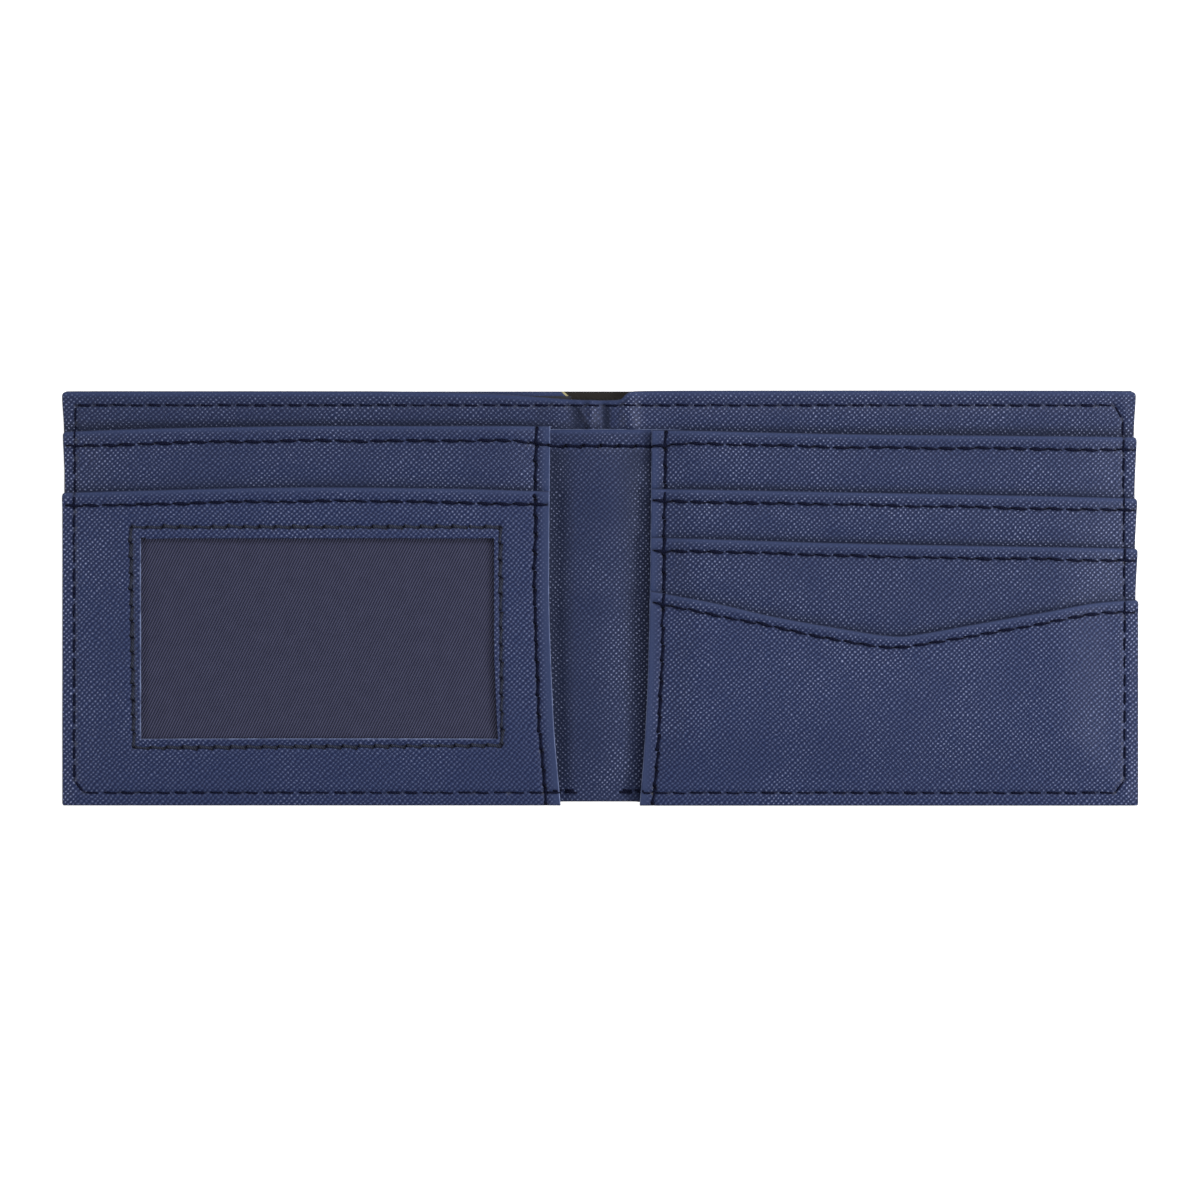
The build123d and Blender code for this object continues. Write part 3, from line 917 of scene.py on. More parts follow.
@dataclass(frozen=True)
class ClearFilm:
    """Clear vinyl: lets the lining show, with a soft gloss on top."""

    name: str = "clear_vinyl"
    tint: Colour = (0.97, 0.97, 0.98, 1.0)
    gloss: float = 0.012
    roughness: float = 0.12
    depth: float = 0.3

    def material(self) -> Material:
        """Makes the finish's material: a clear shader under a little of a glossy one."""
        graph = Graph(self.name)
        graph.tree.nodes.remove(graph.shader)
        clear = graph.add("ShaderNodeBsdfTransparent")
        clear.inputs["Color"].default_value = self.tint
        gloss = graph.add("ShaderNodeBsdfGlossy")
        gloss.inputs["Roughness"].default_value = self.roughness
        ripples = graph.noise(graph.place(), 0.05, 1.0)
        graph.link(graph.bumps(ripples, self.depth), gloss.inputs["Normal"])
        mixer = graph.add("ShaderNodeMixShader")
        mixer.inputs[0].default_value = self.gloss
        graph.link(clear.outputs[0], mixer.inputs[1])
        graph.link(gloss.outputs[0], mixer.inputs[2])
        graph.link(mixer.outputs[0], graph.output.inputs["Surface"])
        return graph.material


@dataclass(frozen=True)
class FibreBoard:
    """Bonded fibre board, seen only at its edges."""

    name: str = "fibre_board"
    ground: Colour = (0.010, 0.011, 0.018, 1.0)
    fibre: Colour = (0.035, 0.036, 0.05, 1.0)
    depth: float = 0.03
    roughness: float = 0.85

    def material(self) -> Material:
        """Makes the finish's material."""
        graph = Graph(self.name)
        fibres = graph.noise(graph.place(), 1.8, 4.0)
        colour = graph.mix(fibres, self.ground, self.fibre)
        return graph.finish(colour, self.roughness, graph.bumps(fibres, self.depth))


class Finishes:
    """Every finish of the wallet, made once."""

    def __init__(self) -> None:
        """Makes the materials."""
        self.leather = GrainLeather("cross_grain_leather").material()
        self.cover = GrainLeather("cross_grain_cover", band=True).material()
        self.lining = WovenLining("navy_polyester", (0.014, 0.016, 0.04, 1.0), (0.035, 0.04, 0.08, 1.0),
                                  90.0, 0.4).material()
        self.twill = WovenLining("slate_twill", (0.006, 0.007, 0.024, 1.0), (0.088, 0.092, 0.163, 1.0),
                                 -27.0, 0.53).material()
        self.thread = WaxedThread().material()
        self.window_thread = WaxedThread("window_thread", colour=(0.016, 0.019, 0.034, 1.0),
                                         strand=(0.040, 0.045, 0.068, 1.0)).material()
        self.film = ClearFilm().material()
        self.board = FibreBoard().material()


# ---- The frame's sizes ----

def node_low(node: str) -> Array:
    """Lowest corner of a CAD node, in millimetres."""
    return np.array(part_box(node)[0]) / MM


def node_high(node: str) -> Array:
    """Highest corner of a CAD node, in millimetres."""
    return np.array(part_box(node)[1]) / MM


@dataclass
class Layout:
    """Where things lie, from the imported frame, and the lines of the real sheets' edges inside it."""

    half_width: float = 0.0
    half_height: float = 0.0
    fold_x: float = 0.0
    fold_reach: float = 2.5
    pivot_height: float = 0.0
    seam_side: float = 2.7
    seam_low: float = 2.65
    seam_high: float = 2.9
    bottom_gap_left: float = 4.3
    bottom_gap_right: float = 3.6
    rim_squeeze: float = 0.4
    gap_squeeze: float = 0.3
    corner: float = 0.9
    flare: float = 0.4
    spread: float = 0.12

    def __post_init__(self) -> None:
        """Reads the overall sizes and the fold lines from the frame."""
        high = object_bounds()[1]
        self.half_width = float(high[0]) / MM
        self.half_height = float(high[1]) / MM
        joint = next(one for one in frame["joints"] if one["name"] == "right_fold")
        self.fold_x = joint["pos_m"][0] / MM
        self.pivot_height = joint["pos_m"][2] / MM

    def inner_edge(self, side: Side) -> Line:
        """The panels' edge beside the spine, as a line of distance outwards against Y."""
        if side is Side.LEFT:
            return through((-44.0, 8.4), (-24.7, 9.95), (3.8, 10.85), (37.0, 10.6))
        return through((-44.0, 8.45), (-32.7, 9.35), (-16.6, 10.2), (11.9, 10.75), (36.0, 11.0))

    def outer_edge(self, mouth_y: float, base: float, step: float, low_cut: float = 0.7) -> Line:
        """A sheet's outer edge, with a round corner at its mouth and a smaller one at the wallet's bottom.

        Args:
            mouth_y: Height of the sheet's mouth at this edge.
            base: Distance outwards of the straight part of the edge.
            step: Height over which the edge draws in below a mouth that stands out, or 0 for a straight edge.
            low_cut: Height at which the bottom corner starts.

        Returns:
            Distance outwards against Y.
        """
        corner = self.corner

        def line(y: Array) -> Array:
            """Distance outwards at each height: the edge less what a circle cuts off both its corners."""
            below = mouth_y - np.asarray(y, float)
            edge = base + (self.flare * (1 - ease(below / step)) if step else 0.0)
            low = np.clip(low_cut - (y + self.half_height), 0.0, corner)
            turn = np.maximum(np.clip(corner - below, 0.0, corner), low)
            return edge - (corner - np.sqrt(corner ** 2 - turn ** 2))

        return line

    def squeezed(self, side: Side, gaps: int) -> Field:
        """How far the seams squeeze a sheet down.

        Args:
            side: The sheet's leaf.
            gaps: How many card pockets lie under the sheet, besides the bill compartment.

        Returns:
            A function of distance outwards and Y: full at the seams, fading inwards over a few millimetres.
        """
        edge = self.inner_edge(side)

        def drop(out: Array, y: Array) -> Array:
            """Squeeze at each place."""
            rim_gap = np.minimum(self.half_width - out - self.seam_side, y + self.half_height - self.seam_low)
            rim = 1 - ease((rim_gap - 0.3) / 15.0)
            spine = 1 - ease((out - edge(y) - 3.2) / 8.0)
            return self.rim_squeeze * rim + self.gap_squeeze * gaps * np.maximum(rim, spine)

        return drop

    def billow(self, side: Side, next_mouth: Line, rise: float) -> Field:
        """Relief of a sheet's visible band, which stands proud of where the next sheet presses on it.

        Args:
            side: The sheet's leaf.
            next_mouth: Mouth of the sheet in front.
            rise: How far the band rises.

        Returns:
            A function of distance outwards and Y: none under the next sheet, rising over a few millimetres
            above its mouth, and less beside the seams.
        """
        edge = self.inner_edge(side)

        def height(out: Array, y: Array) -> Array:
            """Relief at each place."""
            rim = 1 - ease((self.half_width - out - self.seam_side - 0.3) / 6.0)
            spine = 1 - ease((out - edge(y) - 3.2) / 5.0)
            return rise * ease((y - next_mouth(out) + 0.4) / 4.6) * (1 - 0.75 * np.maximum(rim, spine))

        return height

    def perimeter(self) -> Array:
        """Path of the seam round the wallet, from the left of the bottom gap round to its right."""
        left, right = 2.5 - self.half_width, self.half_width - 2.85
        low, high = self.seam_low - self.half_height, self.half_height - self.seam_high
        return np.array([
            (-self.bottom_gap_left, low), (left + 2.0, low), (left, low + 2.7), (left, high),
            (right - 2.0, high), (right - 0.7, high - 1.0), (right, high - 3.0), (right, low + 2.8),
            (right - 2.0, low), (self.bottom_gap_right, low),
        ])


def declare(piece: Piece, material: Material) -> Piece:
    """Gives a piece its material."""
    piece.data.materials.append(material)
    LOG.info("%s: %d faces", piece.name, len(piece.data.polygons))
    return piece


def bend(piece: Piece) -> None:
    """Bakes a piece's placement into its mesh, leaving it at the origin."""
    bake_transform(piece)


def lay_flat(sheet: Sheet) -> None:
    """Works out the sheet's grid, and does nothing with it."""
    out, y = sheet.grid()


def lay_sheet(sheet: Sheet, material: Material, nodes: list[str],
              fold: Layout | None = None) -> None:
    """Args:
        sheet: The sheet.
        material: Its finish.
        nodes: The CAD nodes that it stands for.
        fold: The layout; when given, the piece is baked where it lies instead of riding on the leaf.
    """
    piece = declare(sheet.build(), material)
    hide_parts(*nodes)
    lay_flat(sheet)
    if fold:
        bend(piece)
    else:
        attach(piece, sheet.side.leaf)


def thin_sheet(name: str, side: Side, top: float, thickness: float, edges: tuple[Line, Line, Line, Line],
               **settings: object) -> Sheet:
    """A cloth or film with square edges, by its inner, outer, lower and mouth lines, flat unless told."""
    plain = {
        "round_inner": 0.0, "round_outer": 0.0, "round_low": 0.0, "round_mouth": 0.0, "uneven": 0.0,
        "pale_edges": (), "coarse": 3.0, "fine": 0.9,
    }
    return Sheet(name, side, top, thickness, *edges, **{**plain, **settings})


# ---- Cover and bill compartment ----

@dataclass
class Cover:
    """The outer cover, its lining and boards, and the facing along its mouth."""

    layout: Layout
    finishes: Finishes
    perimeter: Seam
    facing_depth: float = 13.0
    folds: tuple[Bell, ...] = ((6.3, 1.9, 1.1), (0.9, 1.0, -0.5), (-1.9, 0.9, 0.7), (-9.0, 1.8, 0.25),
                               (-4.8, 1.6, -0.3))
    valleys: tuple[Bell, ...] = ((1.3, 1.1, 1.25), (-4.9, 2.1, 1.0), (-12.5, 2.6, 0.5),
                                 (-1.4, 0.8, -0.5))
    lit: tuple[Bell, ...] = ((7.0, 1.8, 0.8), (-9.0, 2.0, 0.15), (-1.5, 0.7, 0.3), (3.0, 1.0, -0.4),
                             (0.9, 1.1, -0.4), (-4.5, 1.8, -0.2))
    facing_sheets: dict[Side, Sheet] = field(default_factory=dict)

    def edge(self, side: Side) -> Line:
        """The cover's outer edge, with its two rounded corners."""
        layout = self.layout
        spread = 0.05 if side is Side.RIGHT else 0.5
        return layout.outer_edge(layout.half_height, layout.half_width - layout.flare + spread, 9.0)

    def cover_sheet(self, side: Side) -> Sheet:
        """One half of the outer cover, cut at the wallet's middle."""
        top = float(node_high(f"outer_cover_{side.word}")[2])
        half_height = self.layout.half_height
        strip_low = float(node_low("spine_strip")[1])
        low = through((0.0, strip_low), (8.35, strip_low), (8.55, -half_height), (120.0, -half_height))
        return Sheet(
            f"outer_cover_skin_{side.word}", side, top, top, level(0.0), self.edge(side),
            low, level(half_height + self.layout.spread), round_inner=0.0, round_outer=0.25, round_low=0.25,
            round_mouth=0.25, round_under=0.3, smooth_mouth=2.4, under_seams=[self.perimeter], uneven=0.0,
            seed=side.value + 3, pale_edges=(), coarse=2.4,
        )

    def build(self) -> None:
        """Builds both halves of every sheet."""
        for side in Side:
            nodes = [f"outer_cover_{side.word}", "outer_cover_spine"]
            lay_sheet(self.cover_sheet(side), self.finishes.cover, nodes, self.layout)
            self.build_lining(side)
            self.build_facing(side)

    def build_lining(self, side: Side) -> None:
        """Bill compartment's back lining, over the board, down to the cover at the spine."""
        word = side.word
        leaf_top, spine_top = (float(node_high(f"bill_lining_{name}")[2]) for name in (word, "spine"))
        half_height = float(node_high(f"cover_stiffener_{word}")[1]) + 0.3
        reach = self.layout.fold_x + self.layout.fold_reach

        def settle(out: Array, y: Array) -> Array:
            """Drop towards the spine, where there is no board."""
            return (leaf_top - spine_top) * (1 - ease((out - reach + 3.0) / 3.0))

        mouth = through((0.0, 41.6), (8.0, 41.9), (14.0, 42.6), (30.0, half_height), (120.0, half_height))
        edges = (level(0.0), level(self.layout.half_width - 1.6), level(-half_height), mouth)
        sheet = thin_sheet(f"bill_back_lining_{word}", side, leaf_top, 0.12, edges, squeeze=settle,
                           seed=side.value + 6)
        nodes = [f"bill_lining_{word}", "bill_lining_spine"]
        lay_sheet(sheet, self.finishes.lining, nodes, self.layout)
        board = frame["nodes"][f"cover_stiffener_{word}"].data
        board.materials.clear()
        board.materials.append(self.finishes.board)

    def facing_mouth(self, side: Side) -> Line:
        """Upper edge of the facing: it sags behind the spine, and on the right it ends that sag in a fold."""
        if side is Side.LEFT:
            return through((0.0, 42.2), (3.0, 42.25), (7.6, 42.45), (14.0, 42.95), (27.2, 43.75),
                           (50.0, 44.1), (114.3, 44.12))
        return through((0.0, 42.2), (3.6, 42.25), (4.6, 42.5), (5.3, 43.2), (6.2, 43.85), (7.6, 44.1),
                       (12.0, 44.2), (60.0, 44.25), (114.3, 44.2))

    def crumple(self, side: Side) -> Field:
        """Relief of the facing: a proud band, with soft upright folds behind the spine strip.

        Args:
            side: The half of the facing.

        Returns:
            Height against distance outwards and Y: bells across X that fade towards the top edge.
        """
        billow = self.layout.billow(side, level(36.2 if side is Side.LEFT else 35.0), 0.35)

        def height(out: Array, y: Array) -> Array:
            """Relief at each place."""
            x = side.value * out
            fade = ease((y - 34.9) / 2.0) * (1 - 0.45 * ease((y - 38.0) / 5.0))
            lean = 0.4 * bump(x + 3.0 + 0.5 * (y - 38.0), 0.7)
            return (bells(x, self.folds) + lean) * fade + billow(out, y)

        return height

    def hollows(self, side: Side, next_mouth: float) -> Field:
        """Where the facing lies in shade: beside the next mouth, and in the valleys between its folds."""
        base = 0.3 if side is Side.LEFT else 0.2

        def shade(out: Array, y: Array) -> Array:
            """Shade at each place."""
            x = side.value * out
            valleys = np.clip(bells(x, self.valleys), 0, 1) * (1 - 0.6 * ease((y - 40.6) / 1.0))
            return np.maximum(valleys, base + 0.55 * (1 - ease((y - next_mouth) / 2.2)))

        return shade

    def gleam(self, side: Side) -> Field:
        """Painted highlight on the facing's dots: brightest on the folds and outside the side seams."""
        base = 0.36 if side is Side.LEFT else 0.5

        def strength(out: Array, y: Array) -> Array:
            """Strength at each place."""
            x = side.value * out
            rim = 1 - ease((self.layout.half_width - self.layout.seam_side - out + 0.3) / 0.9)
            patches = 0.13 * wander(out, y, 92, 22.0)
            return np.clip(base + patches + bells(x, self.lit) + 0.4 * rim, 0.05, 1.3)

        return strength

    def build_facing(self, side: Side) -> None:
        """One half of the facing, from the wallet's middle outwards."""
        word = side.word
        half_height = self.layout.half_height
        edge = self.edge(side)
        sheet = Sheet(
            f"top_facing_skin_{word}", side, float(node_high(f"top_facing_{word}")[2]), 0.5, level(0.0),
            lambda y: edge(y) - 0.05, level(half_height - self.facing_depth), self.facing_mouth(side),
            round_inner=0.0, round_low=0.1, round_mouth=0.3, round_outer=0.25, relief=self.crumple(side),
            seams=[self.perimeter], seed=side.value + 9, uneven=0.05, pale_edges=(), coarse=1.0, hem=0.1,
            shade=self.hollows(side, 36.4 if side is Side.LEFT else 35.2), gleam=self.gleam(side),
            rim_tilt=0.25, fine=0.3, band=12.0,
        )
        nodes = [f"top_facing_{word}", "top_facing_spine"]
        lay_sheet(sheet, self.finishes.leather, nodes, self.layout)
        self.facing_sheets[side] = sheet


# ---- Spine strip ----

@dataclass
class SpineStrip:
    """The strip between the two sets of panels: arched across, with a hem along its mouth."""

    layout: Layout
    finishes: Finishes
    mouth_y: float = 36.0
    low_y: float = -43.3
    hem_inset: float = 3.6
    seam_reach: float = 11.2
    crest: float = 0.95
    sheets: dict[Side, Sheet] = field(default_factory=dict)
    seams: dict[Side, Seam] = field(default_factory=dict)

    def arch(self, side: Side) -> Field:
        """Relief of the strip: a low arch between the panels, with a shallow crease down each side."""
        def height(out: Array, y: Array) -> Array:
            """Relief at each place."""
            rise = self.crest * np.cos(np.clip(out / 10.0, 0, 1) * np.pi / 2) ** 1.3
            ends = ease((self.mouth_y - y) / 9.0) * ease((y - self.low_y) / 9.0)
            crease = 0.25 * bump(out - 8.8, 1.8) * ease((self.mouth_y - y) / 16.0)
            ripple = 0.07 * wander(side.value * out, y, 21, 15.0)
            return rise * (0.55 + 0.45 * ends) - crease + ripple * ends

        return height

    def sides(self, side: Side) -> Field:
        """Shade down one side of the strip, where the panels' edges stand over it: broad on the left."""
        start, width, depth = (4.4, 4.8, 0.56) if side is Side.LEFT else (2.4, 6.6, 0.42)

        def shade(out: Array, y: Array) -> Array:
            """Shade at each place."""
            near = start + 2.0 * ease((-15.0 - y) / 15.0) * (side is Side.RIGHT)
            fade = ease((self.mouth_y - 3.4 - y) / 2.0) * ease((y + 43.5) / 6.0)
            return 0.3 + depth * ease((out - near) / width) * fade

        return shade

    def gleam(self, side: Side) -> Field:
        """Painted highlight on the grain's dots: brightest low down on the right, where the arch turns."""
        most = 0.28 if side is Side.LEFT else 0.6

        def strength(out: Array, y: Array) -> Array:
            """Strength at each place."""
            x = side.value * out
            lit = ease((x + 3.0 + 3.0 * ease((-30.0 - y) / 10.0)) / 8.0) * ease((26.0 - y) / 34.0)
            sides = most * ease((out - 6.0) / 3.5) * ease((30.0 - y) / 3.0)
            return 0.2 + 0.1 * wander(x, y, 91, 14.0) + (0.42 * lit + sides) * ease((y + 44.0) / 5.0)

        return strength

    def build(self) -> None:
        """Builds both halves of the strip."""
        for side in Side:
            word = side.word
            top = float(node_high("spine_strip")[2])
            seam_y = self.mouth_y - self.hem_inset
            line = np.array([(0.0, seam_y), (side.value * self.seam_reach, seam_y)])
            seam = Seam(f"spine_strip_seam_{word}", line)
            drop = self.layout.squeezed(side, 0)
            end = float(node_high("spine_strip_flap_right")[0])
            sheet = Sheet(
                f"spine_strip_skin_{word}", side, top + 0.05, 0.45, level(0.0), level(end),
                level(self.low_y), level(self.mouth_y), round_inner=0.0, round_outer=0.0, round_low=0.15,
                round_mouth=0.38, hem=0.16,
                squeeze=lambda out, y, drop=drop: 0.8 * drop(np.zeros_like(out) + 50.0, y),
                relief=self.arch(side), seams=[seam], seed=31, uneven=0.0, pale_edges=("mouth",), coarse=0.8,
                shade=self.sides(side), gleam=self.gleam(side),
            )
            nodes = ["spine_strip", f"spine_strip_flap_{word}"]
            lay_sheet(sheet, self.finishes.leather, nodes, self.layout)
            self.sheets[side], self.seams[side] = sheet, seam


# ---- Leaves ----

@dataclass
class Panel:
    """One leaf panel: the CAD node that it stands for, its mouth, and how its hem is sewn."""

    node: str
    mouth: Line
    gaps: int
    uneven: float = 0.06
    hem_inset: float = 3.0
    step: float = 12.0
    edge_offset: float = 0.0
    dip: float = 0.0
    # gleam: strength of the painted highlight on the panel's dots.
    gleam: float = 0.42
    seed: int = 50


@dataclass
class Leaf:
    """One leaf: its panels in order from the back, with linings behind them."""

    side: Side
    layout: Layout
    finishes: Finishes
    perimeter: Seam
    panels: list[Panel]
    window: Window | None = None
    inner_inset: float = 2.9
    thickness: float = 0.5
    lining_inset: float = 5.5
    sheets: list[Sheet] = field(default_factory=list)
    hem_seams: list[Seam] = field(default_factory=list)
    inner_seam: Seam | None = None
    window_seam: Seam | None = None

    def build(self) -> None:
        """Builds the front wall, the panels and their linings."""
        edge = self.layout.inner_edge(self.side)
        first = self.panels[0]
        top_y = float(first.mouth(np.array(13.0))) - 0.15
        path = along_edge(edge, self.inner_inset, 0.1 - self.layout.half_height, top_y, self.side)
        self.inner_seam = Seam(f"inner_seam_{self.side.word}", path)
        if self.window:
            self.window_seam = Seam("window_seam", self.window_path(), stops=(1, 2, 3), pitch=3.45)
        self.build_front_wall()
        for panel in self.panels:
            self.build_panel(panel)

    def window_path(self) -> Array:
        """Closed line of the seam round the window, which widens a little towards the bottom."""
        hole = self.window
        points = [
            (hole.outer + 2.2, hole.high + 2.4),
            (hole.inner - 1.3, hole.high + 2.4),
            (hole.inner - 1.7, hole.low - 1.5),
            (hole.outer + 1.5, hole.low - 2.0),
            (hole.outer + 2.2, hole.high + 2.4),
        ]
        return np.array([(self.side.value * out, y) for out, y in points])

    def build_front_wall(self) -> None:
        """The bill compartment's front wall, just behind the first panel."""
        word = self.side.word
        node = f"bill_front_wall_{word}"
        mouth = self.panels[0].mouth
        inner = float(min(abs(node_low(node)[0]), abs(node_high(node)[0])))
        edges = (level(inner), level(self.layout.half_width - 1.2), level(0.5 - self.layout.half_height),
                 lambda out: mouth(out) - 0.35)
        sheet = thin_sheet(
            f"bill_front_lining_{word}", self.side, float(node_high(node)[2]), 0.2, edges, round_outer=0.05,
            round_low=0.05, round_mouth=0.05, squeeze=self.layout.squeezed(self.side, 0), seed=60,
        )
        lay_sheet(sheet, self.finishes.lining, [node])

    def build_panel(self, panel: Panel) -> None:
        """One panel with its hem, and the lining bonded behind it."""
        layout, side = self.layout, self.side
        front = panel is self.panels[-1]
        inner_edge = layout.inner_edge(side)
        start = float(inner_edge(np.array(20.0))) + 0.4
        line = along_mouth(panel.mouth, panel.hem_inset, start, layout.half_width - 0.6, side, panel.dip)
        hem = Seam(f"{panel.node}_hem", line)
        self.hem_seams.append(hem)
        seams = [self.perimeter, hem, self.inner_seam]
        window = self.window if front and self.window else None
        if window:
            seams.append(self.window_seam)
        mouth_y = float(panel.mouth(np.array(layout.half_width)))
        if front:
            outer = layout.outer_edge(mouth_y, layout.half_width + 0.1, 0.0, low_cut=0.5)
        else:
            base = layout.half_width - layout.flare + panel.edge_offset
            outer = layout.outer_edge(mouth_y, base, panel.step)
        sheet = Sheet(
            f"{panel.node}_skin", side, float(node_high(panel.node)[2]), self.thickness, inner_edge, outer,
            level(-layout.half_height - layout.spread), panel.mouth, hem=0.28, hem_width=panel.hem_inset,
            seams=seams, squeeze=layout.squeezed(side, panel.gaps), relief=self.relief(panel),
            shade=self.shade(panel), gleam=self.gleam(panel), rim_tilt=0.3, smooth_inner=2.0,
            uneven=panel.uneven, seed=panel.seed, window=window,
            pale_edges=("inner", "window") if window else ("inner",),
        )
        lay_sheet(sheet, self.finishes.leather, [panel.node])
        self.sheets.append(sheet)
        self.build_lining(panel, sheet)

    def shade(self, panel: Panel) -> Field | None:
        """Shade beside the next panel's mouth, or none on the front panel."""
        number = self.panels.index(panel)
        if number + 1 == len(self.panels):
            return None
        mouth = self.panels[number + 1].mouth
        return lambda out, y: 0.15 + 0.58 * (1 - ease((y - mouth(out) - 0.2) / 1.8))

    def gleam(self, panel: Panel) -> Field:
        """Painted highlight on the grain's dots on a panel.

        Args:
            panel: The panel.

        Returns:
            Strength against distance outwards and Y: uneven, strongest outside the side seam, weak low down.
        """
        layout = self.layout

        def strength(out: Array, y: Array) -> Array:
            """Strength at each place."""
            seam_gap = layout.half_width - layout.seam_side - out
            outside = 1 - ease((seam_gap + 0.3) / 0.9)
            low = 1 - ease((y + layout.half_height - 2.0) / 14.0)
            value = panel.gleam + 0.15 * wander(out, y, panel.seed + 70, 24.0)
            value = value + 0.55 * outside + 0.12 * bump(seam_gap - 2.5, 4.0) - 0.4 * panel.gleam * low
            value = value - 0.3 * bump(out - 15.0, 10.0) * bump(y + layout.half_height - 3.0, 9.0)
            return np.clip(value, 0.06, 1.2)

        return strength

    def relief(self, panel: Panel) -> Field:
        """How the panel's top swells: above the next mouth, or all over if it is the front one."""
        number = self.panels.index(panel)
        if number + 1 < len(self.panels):
            return self.layout.billow(self.side, self.panels[number + 1].mouth, 0.6)
        half_height = self.layout.half_height

        def swell(out: Array, y: Array) -> Array:
            """A low cushion whose crest lies across the leaf's middle."""
            across = np.sin(np.pi * np.clip((out - 12.0) / (self.layout.half_width - 14.0), 0, 1))
            along = np.sin(np.pi * np.clip((y + half_height - 3.0) / (half_height - 4.0), 0, 1))
            return (0.12 if self.window else 0.35) * across * along

        return swell

    def build_lining(self, panel: Panel, sheet: Sheet) -> None:
        """Thin lining bonded to the back of a panel, inside its seams."""
        number = self.panels.index(panel) + 1
        node = f"card_lining_{number}" if self.side is Side.RIGHT else "left_slot_lining"
        if self.side is Side.LEFT and number > 1:
            return
        inset = self.lining_inset
        edges = (lambda y: sheet.inner(y) + inset, level(self.layout.half_width - inset),
                 level(inset - self.layout.half_height), lambda out: sheet.mouth(out) - 3.5)
        lining = thin_sheet(f"{node}_sheet", self.side, sheet.top - self.thickness - 0.02, 0.1, edges,
                            squeeze=sheet.squeeze, uneven=sheet.uneven, seed=sheet.seed, fine=1.2)
        lay_sheet(lining, self.finishes.lining, [node])


@dataclass
class IdPocket:
    """What shows through the identity window: the film, and the twill lining behind it."""

    layout: Layout
    finishes: Finishes
    window: Window
    overlap: float = 3.4

    def build(self) -> None:
        """Builds the film and the twill."""
        layers = (
            ("clear_window_film", "id_window_film", 0.0, 0.15, 0.04, 71, self.finishes.film, "window_film",
             "id_window_panel_skin"),
            ("id_pocket_twill", "id_pocket_lining", 0.06, 0.12, 0.02, 72, self.finishes.twill, "twill_lining",
             "left_slot_panel_skin"),
        )
        hole, reach = self.window, self.overlap
        edges = (level(hole.inner - reach), level(hole.outer + reach), level(hole.low - reach),
                 level(hole.high + reach))
        for name, node, lift, thickness, uneven, seed, finish, slot, below in layers:
            top = float(node_high(node)[2]) + lift
            sheet = thin_sheet(name, Side.LEFT, top, thickness, edges, uneven=uneven, seed=seed, coarse=1.6,
                               fine=0.8)
            lay_sheet(sheet, finish, [node])


# ---- Threads ----

